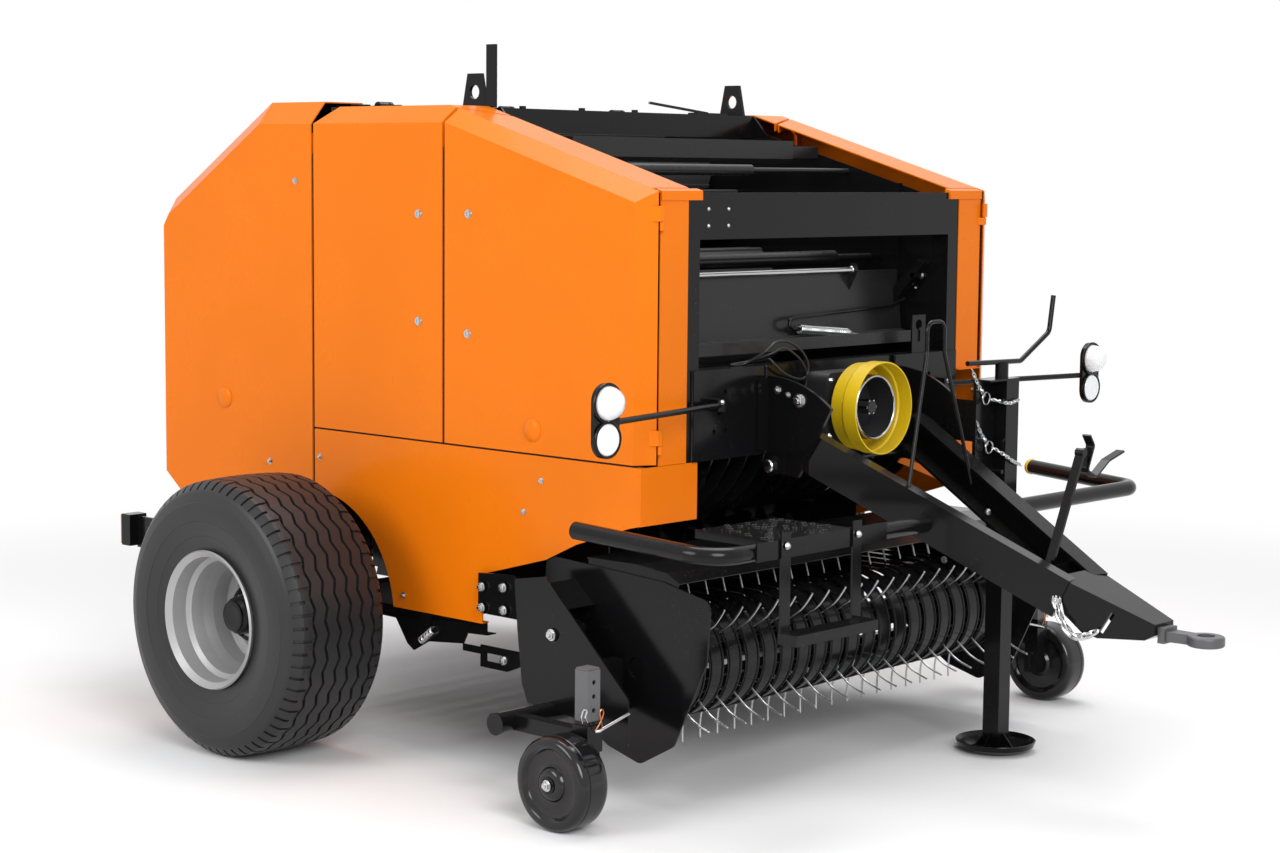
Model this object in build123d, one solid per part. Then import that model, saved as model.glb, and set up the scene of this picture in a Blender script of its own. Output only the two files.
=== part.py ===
from build123d import *
import os
from math import sin, cos, tan, atan2, degrees, radians, hypot

os.makedirs("parts", exist_ok=True)

# Round baler, millimetres, +Z up, forward is -Y, the ground is z = 0.
# Inside this file y = 0 is the main axle. Each shape is moved along Y when it is
# saved, so that the origin lies under the middle of the machine.

# Driving dimensions
TYRE_R, TYRE_W, TYRE_X = 437, 390, 1216       # road tyre radius, width, centre from the middle
RIM_R = 216                                   # rim flange radius
AXLE_H = 80                                   # square axle beam
SIDE_X = 860                                  # outer face of the side covers
BEVEL = 60                                    # width of the bevel at the covers' edges
FLANGE_X = 640                                # inner edge of the covers' top flange
SHEET = 4                                     # cover sheet thickness
RETURN = 26                                   # folded edge of a cover at a seam
SEAM = 13                                     # open seam between covers
WALL_X, WALL = 606, 6                         # inner face and thickness of the chamber walls
RING_R, ROLLER_R = 665, 90                    # ring the rollers stand on, roller radius
CHAMBER_Y = 130                               # centre of the bale chamber
CHAMBER_Z = TYRE_R + AXLE_H / 2 + 23 + RING_R + ROLLER_R
SPLIT_Y = 146                                 # seam between housing and tailgate
REAR_Y = CHAMBER_Y + RING_R + ROLLER_R + 70   # rear face of the tailgate
TOP_Z = CHAMBER_Z + RING_R + ROLLER_R - 35    # fold line of the covers at the top
MID_RISE, DOOR_RISE, FRONT_RISE = 55, 42, 37  # rise of the bevels on the front covers
TAIL_RISE = 72                                # rise of the bevel on top of the tailgate
HINGE_Z = TOP_Z + 60                          # height of the tailgate hinge
FRONT_Y = -1319                               # plane of the front frame
POST = 60                                     # depth of the front frame
BEAM_LOW, BEAM_TOP, FRAME_TOP = 985, 1253, 1771
LOW_SEAM = 987                                # seam between covers and skirts
HITCH_Y, HITCH_Z = -2664, 554                 # centre of the hitch ring
HITCH_R, HITCH_BORE_R, HITCH_T = 52, 25, 30
LAMP_END_Y = 1206                             # rear end of the rear lamps
PICKUP_Y, PICKUP_Z = -1080, 483               # lift hinge of the pickup
PICKUP_X = 850                                # outer face of the pickup side plates
REEL_Y, REEL_Z = -1300, 400                   # reel axis
TIP_R, BAND_R, BAND_W = 290, 165, 64          # tine tips, stripper bands
TINE_PITCH, TINES, TINE_BARS = 80, 21, 5
GAUGE_R, GAUGE_W, GAUGE_X, GAUGE_Y = 135, 108, 1202, -1352
JACK_X, JACK_Y, JACK_W, LEG_W = 443, -1670, 67, 60
LAMP_X, LAMP_Y, LAMP_R = 1195, -1500, 48      # marker lamps
GUARD_R, GUARD_Z = 25, 815                    # guard tube
RAM_BASE = (-300, 1300)                       # lower pin of the tailgate ram (y, z)
RAM_EYE = (500, 1550)                         # rod eye of the tailgate ram
RAM_X = 662
ROTOR_Y, ROTOR_Z, ROTOR_R = -690, 600, 150    # feed rotor

SHIFT = -((HITCH_Y - HITCH_R) + LAMP_END_Y) / 2


def box(x0, x1, y0, y1, z0, z1):
    return Pos((x0 + x1) / 2, (y0 + y1) / 2, (z0 + z1) / 2) * Box(abs(x1 - x0), abs(y1 - y0), abs(z1 - z0))


def plate_x(points, x0, x1, corner=0):
    """A plate in the YZ plane from (y, z) corners, which may be rounded."""
    face = make_face(Polyline(*[(x0, y, z) for y, z in points], close=True)).face()
    if corner:
        face = face.fillet_2d(corner, face.vertices())
    return extrude(face, amount=x1 - x0, dir=(1, 0, 0))


def plate_y(points, y0, y1, corner=0):
    """A plate in the XZ plane from (x, z) corners, which may be rounded."""
    face = make_face(Polyline(*[(x, y0, z) for x, z in points], close=True)).face()
    if corner:
        face = face.fillet_2d(corner, face.vertices())
    return extrude(face, amount=y1 - y0, dir=(0, 1, 0))


def plate_z(points, z0, z1):
    """A plate in the XY plane from (x, y) corners."""
    face = make_face(Polyline(*[(x, y, z0) for x, y in points], close=True))
    return extrude(face, amount=z1 - z0, dir=(0, 0, 1))


def rod(p, q, r, bore=0):
    """A round bar between two points, hollow if it has a bore."""
    way = Vector(*q) - Vector(*p)
    plane = Plane(origin=p, z_dir=way)
    shape = plane * Pos(0, 0, way.length / 2) * Cylinder(r, way.length)
    if bore:
        shape -= plane * Pos(0, 0, way.length / 2) * Cylinder(bore, way.length + 2)
    return shape


def disc(x0, x1, y, z, r, bore=0):
    return rod((x0, y, z), (x1, y, z), r, bore)


def bar(p, q, w, h, wall=0, up=(0, 0, 1)):
    """A rectangular bar or tube between two points, h is measured towards up."""
    way = Vector(*q) - Vector(*p)
    side = Vector(*up).cross(way)
    plane = Plane(origin=p, x_dir=side, z_dir=way)
    shape = plane * Pos(0, 0, way.length / 2) * Box(w, h, way.length)
    if wall:
        shape -= plane * Pos(0, 0, way.length / 2) * Box(w - 2 * wall, h - 2 * wall, way.length + 2)
    return shape


def bent(points, r, bend, bore=0):
    """A round bar or tube along straight runs with bends."""
    path = FilletPolyline(*points, radius=bend)
    plane = Plane(origin=path @ 0, z_dir=path % 0)
    face = plane * Circle(r)
    if bore:
        face -= plane * Circle(bore)
    return sweep(face, path=path)


def strap(points, w, t, bend, across):
    """A flat bar along straight runs with bends, its width lies along across."""
    path = FilletPolyline(*points, radius=bend)
    plane = Plane(origin=path @ 0, z_dir=path % 0, x_dir=across)
    return sweep(plane * Rectangle(w, t), path=path)


def turned(profile, x, y, z):
    """A body turned about the X axis from (x, radius) corners, set at a place."""
    face = make_face(Polyline(*[(a, 0, r) for a, r in profile], close=True))
    return Pos(x, y, z) * revolve(face, axis=Axis.X)


def lens(x, y, z, r, deep):
    """A shallow dome that looks forwards."""
    big = (r * r + deep * deep) / (2 * deep)
    turn = atan2(r, big - deep) / 2
    dome = ThreePointArc((0, -deep), (big * sin(turn), -deep + big * (1 - cos(turn))), (r, 0))
    face = make_face(dome.edges() + Polyline((r, 0), (0, 0), (0, -deep)).edges())
    return Pos(x, y, z) * revolve(face, axis=Axis.Y)


def offset_ring(points, steps):
    """Corners of a polygon whose edges are moved outwards, each by its own step."""
    n = len(points)
    area = sum(points[i][0] * points[(i + 1) % n][1] - points[(i + 1) % n][0] * points[i][1]
               for i in range(n))
    way = 1 if area > 0 else -1
    lines = []
    for i in range(n):
        (ya, za), (yb, zb) = points[i], points[(i + 1) % n]
        length = hypot(yb - ya, zb - za)
        ny, nz = way * (zb - za) / length, -way * (yb - ya) / length
        lines.append((ny, nz, ny * ya + nz * za + steps[i]))
    ring = []
    for i in range(n):
        a, b = lines[i - 1], lines[i]
        det = a[0] * b[1] - a[1] * b[0]
        ring.append(((a[2] * b[1] - a[1] * b[2]) / det, (a[0] * b[2] - a[2] * b[0]) / det))
    return ring


def slab(low, high, x0, x1):
    """A ruled loft between two polygons that stand across X."""
    faces = [make_face(Polyline(*[(x, y, z) for y, z in ring], close=True))
             for x, ring in ((x0, low), (x1, high))]
    return loft(faces, ruled=True)


def cover_shell(rows, wall, inner_x):
    """A cover on the left side: flat outside, a bevel along its edges, then a flange inwards.
    Rows are (y, z, rise), and rise is the height of the bevel on the edge that starts there."""
    fold = [(y, z) for y, z, _ in rows]
    rises = [rise for _, _, rise in rows]
    top = SIDE_X - BEVEL
    outer_ring = offset_ring(fold, rises)
    outer = slab(outer_ring, fold, top, SIDE_X)
    outer += plate_x(outer_ring, inner_x, top)
    low = offset_ring(fold, [rise - wall if rise else -wall for rise in rises])
    high = offset_ring(fold, [-wall * (hypot(rise, BEVEL) - rise) / BEVEL if rise else -wall for rise in rises])
    knee = top - 0.41 * wall
    inner = slab(low, high, knee, SIDE_X - wall)
    inner += plate_x(low, inner_x - 1, knee)
    return outer - inner


def both(shape):
    """The shape and its twin on the other side."""
    return [shape, mirror(shape, about=Plane.YZ)]


def save(name, *shapes):
    solids = []
    for shape in shapes:
        for piece in (shape if isinstance(shape, list) else [shape]):
            solids += piece.solids()
    export_step(Pos(0, SHIFT, 0) * Compound(children=solids), f"parts/{name}.step")


# Chamber walls of the front housing: one plate each side from the front frame to the seam,
# with a folded stiffener inside, stand-offs for the covers and a rim under the middle cover.
RIM_TOP = TOP_Z + MID_RISE - SHEET - 0.3
BACK_Y = FRONT_Y + POST
housing_edge = [
    (SPLIT_Y - 7, RIM_TOP), (-478, RIM_TOP), (-540, 1960), (BACK_Y, 1757), (BACK_Y, 980),
    (-1130, 900), (-960, 700), (-960, 410), (-420, 410), (-300, 520), (SPLIT_Y - 7, 500),
]
side_wall = plate_x(housing_edge, WALL_X, WALL_X + WALL)
side_wall += box(WALL_X - 16, WALL_X, -1133, -1065, 1262, 1800)
side_wall -= box(WALL_X - 12, WALL_X, -1129, -1069, 1250, 1810)
side_wall += box(WALL_X, FLANGE_X + 50, -448, 76 - SHEET, RIM_TOP - 4, RIM_TOP)
for y, z in ((-440, 1900), (-440, 1060), (100, 1060), (100, 1900), (-440, 700), (-1150, 952)):
    side_wall += box(WALL_X + WALL, SIDE_X - SHEET, y - 20, y + 20, z - 20, z + 20)
    side_wall -= box(WALL_X + WALL, SIDE_X - SHEET + 1, y - 16, y + 16, z - 16, z + 16)
side_wall += disc(WALL_X + WALL, RAM_X + 22, RAM_BASE[0], RAM_BASE[1], 15)
# Bracket beside the tailgate hinge, open to view where the covers part.
side_wall += box(WALL_X + WALL, 800, 82, 120, TOP_Z, HINGE_Z - 6)
save("housing_walls", both(side_wall))

# Front frame: posts, upper beam, lower crossbeam and the plates that the drawbar bolts to.
frame = box(-612, 612, FRONT_Y, BACK_Y, 1635, FRAME_TOP)
frame -= box(-620, 620, FRONT_Y + 5, BACK_Y + 5, 1640, FRAME_TOP - 5)
for x, z in ((-574, 1724), (-485, 1724), (-574, 1675), (-485, 1675)):
    frame -= rod((x, FRONT_Y - 2, z), (x, FRONT_Y + 8, z), 6)
crossbeam = box(-666, 666, FRONT_Y - 4, BACK_Y, BEAM_LOW, BEAM_TOP)
crossbeam -= box(-660, 660, FRONT_Y + 2, BACK_Y - 6, BEAM_LOW + 6, BEAM_TOP - 6)
for s in (-1, 1):
    frame += box(s * 612, s * 666, FRONT_Y, BACK_Y, BEAM_LOW, FRAME_TOP)
frame += crossbeam
PLATE_Y = FRONT_Y - 12
for s in (-1, 1):
    end_plate = box(s * 320, s * 645, PLATE_Y, FRONT_Y - 4, BEAM_LOW, BEAM_TOP)
    for x, z in ((506, 1183), (532, 1123), (504, 1070), (554, 1068)):
        end_plate -= rod((s * x, PLATE_Y - 2, z), (s * x, FRONT_Y - 2, z), 8)
    frame += end_plate
keyhole = plate_y([(427, BEAM_TOP), (498, BEAM_TOP), (498, 1376), (427, 1376)], FRONT_Y, FRONT_Y + 6)
keyhole -= rod((462, FRONT_Y - 2, 1344), (462, FRONT_Y + 9, 1344), 17)
keyhole -= box(454, 470, FRONT_Y - 2, FRONT_Y + 9, 1290, 1344)
frame += keyhole
save("front_frame", frame)

# Cross tubes on the top, the hinge eyes of the tailgate, lifting eyes and the lashing bar.
top_front = box(-WALL_X, WALL_X, -478, -398, 1950, RIM_TOP)
for x in (-478, -209, 43):
    top_front += rod((x, -438, RIM_TOP - 1), (x, -438, RIM_TOP + 9), 11)
top_rear = box(-WALL_X, WALL_X, 66, 120, 2004, HINGE_Z - 5)
for x in (-560, 0, 560):
    top_rear += disc(x + 26, x + 38, SPLIT_Y, HINGE_Z, 18) + disc(x - 24, x + 26, SPLIT_Y, HINGE_Z, 10)
    top_rear += box(x + 26, x + 38, 90, SPLIT_Y, HINGE_Z - 5, HINGE_Z + 8)
eye_plate = plate_x([(-425, RIM_TOP), (-315, RIM_TOP), (-338, RIM_TOP + 108), (-402, RIM_TOP + 108)], 613, 625)
eye_plate -= disc(600, 640, -370, RIM_TOP + 50, 22.5)
LASH_H = 196.3
lash_bar = box(-636, -626, -476, -436, RIM_TOP, RIM_TOP + LASH_H)
lever = bar((262, -300, RIM_TOP + 40.3), (430, -420, RIM_TOP + 6), 24, 8)
lever += box(340, 500, -450, -410, RIM_TOP, RIM_TOP + 7)
save("top_bars", top_front, top_rear, both(eye_plate), lash_bar, lever)

# Axle: square beam with round stub ends, on two hangers under the chamber walls.
axle = bar((-1000, 0, TYRE_R), (1000, 0, TYRE_R), AXLE_H, AXLE_H)
axle += disc(-TYRE_X - 32, TYRE_X + 32, 0, TYRE_R, 30)
for s in (-1, 1):
    axle += plate_x([(-110, TYRE_R + 40), (110, TYRE_R + 40), (70, TYRE_R + 203), (-70, TYRE_R + 203)],
                    WALL_X + WALL + 0.3, WALL_X + WALL + 10) if s == 1 else \
        plate_x([(-110, TYRE_R + 40), (110, TYRE_R + 40), (70, TYRE_R + 203), (-70, TYRE_R + 203)],
                -WALL_X - WALL - 10, -WALL_X - WALL - 0.3)
save("axle", axle)

# Rollers around the chamber: tubes with driving ribs. One place is left out for the intake.
ribs = 10
outline = []
for k in range(ribs):
    for r, part in ((ROLLER_R - 8, -0.5), (ROLLER_R - 8, -0.14), (ROLLER_R, -0.11), (ROLLER_R, 0.11),
                    (ROLLER_R - 8, 0.14)):
        a = radians(360 / ribs * (k + part))
        outline.append((r * cos(a), r * sin(a)))
roller = plate_x(outline, -WALL_X + 0.3, WALL_X - 0.3)
front_rollers, tail_rollers = [], []
for place in range(18):
    turn = 10 + 20 * place
    y = CHAMBER_Y + RING_R * cos(radians(turn - 90))
    z = CHAMBER_Z + RING_R * sin(radians(turn - 90))
    if turn < 180:
        tail_rollers.append(Pos(0, y, z) * roller)
    elif turn != 310:
        front_rollers.append(Pos(0, y, z) * roller)
save("front_rollers", front_rollers)

# Feed rotor: a tube with four-pointed star plates, in the channel behind the pickup.
rotor = disc(-605.7, 605.7, ROTOR_Y, ROTOR_Z, 55)
for i in range(15):
    x = -560 + 80 * i
    corners = []
    for k in range(4):
        for r, part in ((ROTOR_R, -4), (ROTOR_R, 4), (70, 45)):
            a = radians(90 * k + 24 * (i % 4) + part)
            corners.append((ROTOR_Y + r * cos(a), ROTOR_Z + r * sin(a)))
    rotor += plate_x(corners, x - 4, x + 4)
save("feed_rotor", rotor)

# Feed channel: floor under the rotor and sickle-shaped stripper bars under the crossbeam.
floor = box(-WALL_X, WALL_X, -940, -440, 412, 418)
sickle = disc(-3, 3, -960, 1120, 365, 330)
sickle &= plate_x([(-1330, BEAM_LOW), (-1100, BEAM_LOW), (-960, 1000), (-840, 900), (-840, 700), (-1330, 700)], -4, 4)
strips = box(-WALL_X, WALL_X, -880, -850, 772, 812)
for i in range(14):
    strips += Pos(-520 + 80 * i, 0, 0) * sickle
save("feed_channel", floor, strips)

# Covers on the left side, mirrored to the right.
middle_rows = [(400, TOP_Z, MID_RISE), (-490, TOP_Z, DOOR_RISE), (-1290, 1744, FRONT_RISE), (-1290, 700, 0),
               (400, 700, 0)]
front_shell = cover_shell(middle_rows, SHEET, FLANGE_X)
front_thick = cover_shell(middle_rows, RETURN, FLANGE_X)
DOOR_REAR, CAP_Y = -490, FRONT_Y + 15
MIDDLE_FRONT = DOOR_REAR + SEAM
LOW = LOW_SEAM + 3


def seam_strip(y, w):
    """The plan of a strip along the seam between door and middle cover."""
    return plate_z([(600, y - 92), (800, y), (900, y), (900, y + w), (800, y + w), (600, y - 92 + w)], LOW, 2100)


middle = front_shell & plate_z([(600, 76), (800, 76), (SIDE_X, SPLIT_Y - 7), (900, SPLIT_Y - 7),
                                (900, MIDDLE_FRONT), (800, MIDDLE_FRONT), (600, MIDDLE_FRONT - 92)], LOW, 2100)
middle += front_thick & seam_strip(MIDDLE_FRONT, SHEET)
middle += front_thick & box(SIDE_X - RETURN, 900, SPLIT_Y - 7 - SHEET, SPLIT_Y - 7, LOW, TOP_Z - 30)
middle += box(SIDE_X - RETURN, SIDE_X, MIDDLE_FRONT, SPLIT_Y - 7, LOW, LOW + SHEET)
save("middle_covers", both(middle))

door = front_shell & plate_z([(600, -1340), (900, -1340), (900, DOOR_REAR), (800, DOOR_REAR),
                              (600, DOOR_REAR - 92)], LOW, 2100)
door -= box(600, 800, -1340, CAP_Y + 7, 900, 1800)
door += front_thick & seam_strip(DOOR_REAR - SHEET, SHEET)
door += front_thick & box(SIDE_X - RETURN, 900, -1340, DOOR_REAR, LOW, LOW + SHEET)
DOOR_X, DOOR_Y = 792, -1334
HINGES = (1046, 1690)
for z in HINGES:
    door += plate_z([(DOOR_X, DOOR_Y - 7), (DOOR_X + 12, DOOR_Y - 4), (DOOR_X + 30, -1311), (DOOR_X + 26, -1307),
                     (DOOR_X + 8, -1326), (DOOR_X, DOOR_Y + 6)], z, z + 44)
    door += rod((DOOR_X, DOOR_Y, z), (DOOR_X, DOOR_Y, z + 44), 7)
door -= rod((DOOR_X, DOOR_Y, 1000), (DOOR_X, DOOR_Y, 1760), 4.3)
save("door_left", door)
save("door_right", mirror(door, about=Plane.YZ))

# Narrow fixed strips beside the front frame, with lips over the posts and the door hinge pins.
strip_left = box(666, 786, FRONT_Y - 3, FRONT_Y, 1187, FRAME_TOP)
strip_left += box(666, 786, FRONT_Y - 18, FRONT_Y - 3, 1187, 1190)
strip_right = mirror(box(666, 786, FRONT_Y - 3, FRONT_Y, BEAM_LOW, FRAME_TOP), about=Plane.YZ)
cap = plate_x([(FRONT_Y - 8, 1750), (FRONT_Y, 1750), (FRONT_Y, FRAME_TOP), (CAP_Y, FRAME_TOP),
               (CAP_Y, FRAME_TOP + 12.6), (FRONT_Y - 8, FRAME_TOP + 6)], 610, 786)
for z in HINGES:
    cap += rod((DOOR_X, DOOR_Y, z - 22), (DOOR_X, DOOR_Y, z + 40), 4)
    cap += rod((DOOR_X, DOOR_Y, z - 26), (DOOR_X, DOOR_Y, z - 2), 7)
    cap += plate_z([(770, FRONT_Y), (DOOR_X - 6, FRONT_Y), (DOOR_X + 4, DOOR_Y + 6), (DOOR_X - 6, DOOR_Y - 4),
                    (770, FRONT_Y - 4)], z - 26, z - 2)
save("front_strips", strip_left + cap, strip_right + mirror(cap, about=Plane.YZ))

# Skirts below the covers, cut out around the tyre, with an arch sheet over the cut.
ARCH_Y, ARCH_Z, ARCH_R = 130, 400, 382
skirt_edge = [(SPLIT_Y - 7, LOW_SEAM - 3), (FRONT_Y - 4, LOW_SEAM - 3), (FRONT_Y - 4, 816), (-1276, 805),
              (-1062, 734), (-937, 675), (-720, 615), (-663, 600), (-663, 444), (SPLIT_Y - 7, 444)]
skirt = plate_x(skirt_edge, SIDE_X - SHEET, SIDE_X)
skirt += box(SIDE_X - RETURN, SIDE_X, FRONT_Y, SPLIT_Y - 7, LOW_SEAM - 3 - SHEET, LOW_SEAM - 3)
skirt += box(SIDE_X - RETURN, SIDE_X, -663, -230, 444, 444 + SHEET)
skirt -= disc(SIDE_X - 60, SIDE_X + 10, ARCH_Y, ARCH_Z, ARCH_R)
arch = disc(WALL_X + WALL + 0.3, SIDE_X, ARCH_Y, ARCH_Z, ARCH_R + 4, ARCH_R)
skirt += arch & box(600, 900, -400, SPLIT_Y - 7, 448, 900)
skirt += box(617, SIDE_X, FRONT_Y - 4, FRONT_Y, 815, BEAM_LOW - 1)
guard_lip = plate_y([(359, 904), (386, 918), (618, 840), (618, 815)], FRONT_Y - 4, FRONT_Y)
save("skirts", skirt + guard_lip, mirror(skirt, about=Plane.YZ))

# Tailgate: chamber walls, cross tubes and covers, hinged along the top edge.
tail_rows = [(-300, TOP_Z, TAIL_RISE), (REAR_Y - 535, TOP_Z, 64), (REAR_Y - 28, CHAMBER_Z + 414, BEVEL),
             (REAR_Y, CHAMBER_Z + 375, BEVEL), (REAR_Y, CHAMBER_Z - 483, BEVEL), (REAR_Y - 97, CHAMBER_Z - 555, BEVEL),
             (REAR_Y - 255, CHAMBER_Z - 591, BEVEL), (-300, CHAMBER_Z - 605, 0)]
tail_shell = cover_shell(tail_rows, SHEET, FLANGE_X)
tail_thick = cover_shell(tail_rows, RETURN, FLANGE_X)
TAIL_Y = SPLIT_Y + 6
tail_cover = tail_shell & box(600, 900, TAIL_Y, REAR_Y + 145, 500, HINGE_Z + 65)
tail_cover += tail_thick & box(SIDE_X - RETURN, 900, TAIL_Y, TAIL_Y + SHEET, 500, TOP_Z - 30)
save("tailgate_covers", both(tail_cover))

tail_ring = offset_ring([(y, z) for y, z, _ in tail_rows],
                        [rise - SHEET - 0.3 if rise else 0 for _, _, rise in tail_rows])
tail_wall = plate_x(tail_ring, WALL_X, WALL_X + WALL)
tail_wall += disc(WALL_X, WALL_X + WALL, CHAMBER_Y, CHAMBER_Z, RING_R + 60)
tail_wall &= box(600, 620, TAIL_Y, REAR_Y + 145, 480, HINGE_Z + 65)
tail_inner = offset_ring(tail_ring, [-5 if rise else 0 for _, _, rise in tail_rows])
tail_rim = plate_x(tail_ring, WALL_X, 690) - plate_x(tail_inner, WALL_X - 1, 700)
tail_rim &= box(600, 700, TAIL_Y, REAR_Y + 145, 560, HINGE_Z + 65)
tail_side = tail_wall + tail_rim + disc(WALL_X + WALL, 630, RAM_EYE[0], RAM_EYE[1], 40)
for y, z in ((230, 1790), (230, 900), (800, 1620), (800, 800)):
    tail_side += box(WALL_X + WALL, SIDE_X - SHEET - 0.3, y - 20, y + 20, z - 20, z + 20)
    tail_side -= box(WALL_X + WALL, SIDE_X - SHEET + 1, y - 16, y + 16, z - 16, z + 16)
tail_tube = box(-WALL_X, WALL_X, SPLIT_Y + 24, SPLIT_Y + 70, 2000, HINGE_Z - 5)
for x in (-560, 0, 560):
    tail_tube += box(x - 20, x + 20, SPLIT_Y + 10, SPLIT_Y + 50, HINGE_Z - 5, HINGE_Z + 5)
    tail_tube += disc(x - 20, x + 20, SPLIT_Y, HINGE_Z, 18)
    tail_tube -= disc(x - 22, x + 22, SPLIT_Y, HINGE_Z, 10.4)
# Two cross tubes close the rear of the frame.
tail_y = CHAMBER_Y + RING_R - 5
for z in (CHAMBER_Z - 505, CHAMBER_Z + 425):
    cross = box(-WALL_X, WALL_X, tail_y, tail_y + 80, z, z + 80)
    cross -= box(-WALL_X - 1, WALL_X + 1, tail_y + 5, tail_y + 75, z + 5, z + 75)
    tail_tube += cross
tail_frame = tail_side + mirror(tail_side, about=Plane.YZ) + tail_tube
save("tailgate_frame", tail_frame)
save("tailgate_rollers", tail_rollers)

# Tailgate rams, one on each side between wall and cover.
ry, rz = RAM_EYE[0] - RAM_BASE[0], RAM_EYE[1] - RAM_BASE[1]
ram_l = hypot(ry, rz)
uy, uz = ry / ram_l, rz / ram_l


def along(d):
    return (RAM_X, RAM_BASE[0] + uy * d, RAM_BASE[1] + uz * d)


barrel = rod(along(20), along(600), 30, 16) + rod(along(20), along(50), 30)
barrel += disc(RAM_X - 15, RAM_X + 15, RAM_BASE[0], RAM_BASE[1], 32)
barrel -= disc(RAM_X - 20, RAM_X + 20, RAM_BASE[0], RAM_BASE[1], 15.4)
ram_rod = rod(along(90), along(ram_l - 20), 15) + disc(RAM_X - 15, RAM_X + 15, RAM_EYE[0], RAM_EYE[1], 30)
ram_rod += disc(RAM_X - 26, RAM_X + 26, RAM_EYE[0], RAM_EYE[1], 15)
for side in ("left", "right"):
    flip = (lambda s: s) if side == "left" else (lambda s: mirror(s, about=Plane.YZ))
    save(f"ram_barrel_{side}", flip(barrel))
    save(f"ram_rod_{side}", flip(ram_rod))

# Drawbar: two sloping channels that meet in a tapered nose, ear plates on the crossbeam.
ARM_REAR = (288, FRONT_Y - 111, 1023.4)
ARM_FRONT = (78, HITCH_Y + 414, HITCH_Z + 78)
EAR_X = 304
arm = bar(ARM_REAR, ARM_FRONT, 60, 118)
arm -= bar((ARM_REAR[0] - 8, ARM_REAR[1] + 1, ARM_REAR[2] + 0.5), (ARM_FRONT[0] - 8, ARM_FRONT[1], ARM_FRONT[2]),
           60, 102)
arm -= box(EAR_X - 0.3, 400, -1650, -1300, 800, 1200)
NOSE_END = HITCH_Y + 133
nose_side = [(HITCH_Y + 424, HITCH_Z + 142), (HITCH_Y + 398, HITCH_Z + 34), (HITCH_Y + 345, HITCH_Z - 12),
             (HITCH_Y + 299, HITCH_Z - 23), (HITCH_Y + 161, HITCH_Z - 14), (NOSE_END, HITCH_Z + 2),
             (NOSE_END, HITCH_Z + 34)]
nose = plate_x(nose_side, -110, 110)
nose &= plate_z([(-104, HITCH_Y + 424), (104, HITCH_Y + 424), (50, NOSE_END), (-50, NOSE_END)], 400, 800)
nose -= plate_z([(-94, HITCH_Y + 440), (94, HITCH_Y + 440), (46, NOSE_END + 26), (-46, NOSE_END + 26)], 400, 800) \
    & plate_x([(HITCH_Y + 440, 400), (HITCH_Y + 440, HITCH_Z + 136), (NOSE_END + 24, HITCH_Z + 30),
               (NOSE_END + 24, 400)], -120, 120)
nose -= bar((0, HITCH_Y + 254, HITCH_Z + 52), (0, HITCH_Y + 290, HITCH_Z - 9), 300, 12)
web = box(-106, 106, HITCH_Y + 504, HITCH_Y + 512, HITCH_Z + 70, HITCH_Z + 150)
drawbar = arm + mirror(arm, about=Plane.YZ) + nose + web
PIN_Y, PIN_Z = FRONT_Y - 42, 952


def ear_plate(x, thick):
    rear = PLATE_Y - 0.3
    top = ThreePointArc((x, rear, 1222), (x, -1480, 1196), (x, -1580, 1138))
    rest = Polyline((x, -1580, 1138), (x, -1459, 924), (x, rear, 930), (x, rear, 1222))
    return extrude(make_face(top.edges() + rest.edges()), amount=thick, dir=(1, 0, 0))


ear = ear_plate(EAR_X, 12) + box(EAR_X, EAR_X + 60, PLATE_Y - 8.3, PLATE_Y - 0.3, 1000, 1215)
ear += disc(EAR_X - 6, EAR_X + 26, PIN_Y, PIN_Z, 30)
ears = ear + mirror(ear, about=Plane.YZ) + disc(-330, 330, PIN_Y, PIN_Z, 16)
save("drawbar", drawbar, ears)

# Hitch ring, its tapered shank and the flange that bolts to the nose.
shank = plate_z([(-30, NOSE_END + 20), (30, NOSE_END + 20), (22, HITCH_Y + 40), (-22, HITCH_Y + 40)],
                HITCH_Z - 14, HITCH_Z + 14)
ring = Pos(0, HITCH_Y, HITCH_Z) * Cylinder(HITCH_R, HITCH_T)
ring = fillet(ring.edges().filter_by(GeomType.CIRCLE), 7)
ring += shank + box(-34, 34, NOSE_END - 22, NOSE_END - 0.3, HITCH_Z - 20, HITCH_Z + 24)
ring -= box(-60, 60, NOSE_END - 0.3, NOSE_END + 40, HITCH_Z - 60, HITCH_Z + 60)
ring -= Pos(0, HITCH_Y, HITCH_Z) * Cylinder(HITCH_BORE_R, 60)
save("hitch_ring", ring)

# Parking jack: square tube with bracket and crank, square leg with a dished foot.
JH, LH = JACK_W / 2, LEG_W / 2
jack_tube = box(JACK_X - JH, JACK_X + JH, JACK_Y - JH, JACK_Y + JH, 600, 1190)
jack_tube -= box(JACK_X - LH - 0.5, JACK_X + LH + 0.5, JACK_Y - LH - 0.5, JACK_Y + LH + 0.5, 590, 1180)
jack_tube += box(316.3, JACK_X + JH + 2, JACK_Y - JH - 2, JACK_Y + JH + 2, 1190, 1196)
jack_tube += box(316.3, JACK_X - JH, JACK_Y + 16, JACK_Y + 28, 870, 1190)
jack_tube += box(316.3, 328, JACK_Y + 28, -1480, 1000, 1130)
jack_tube += rod((JACK_X - 15, JACK_Y, 1190), (JACK_X - 15, JACK_Y, 1244), 21)
jack_tube += bent([(242, JACK_Y, 1250), (530, JACK_Y, 1244), (688, JACK_Y, 1330), (708, JACK_Y, 1446)], 8, 30)
for z in (1128, 905):
    jack_tube += rod((JACK_X - 60, JACK_Y - JH - 8, z), (JACK_X - 60, JACK_Y + 20, z), 7)
leg = box(JACK_X - LH, JACK_X + LH, JACK_Y - LH, JACK_Y + LH, 12, 820)
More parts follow.
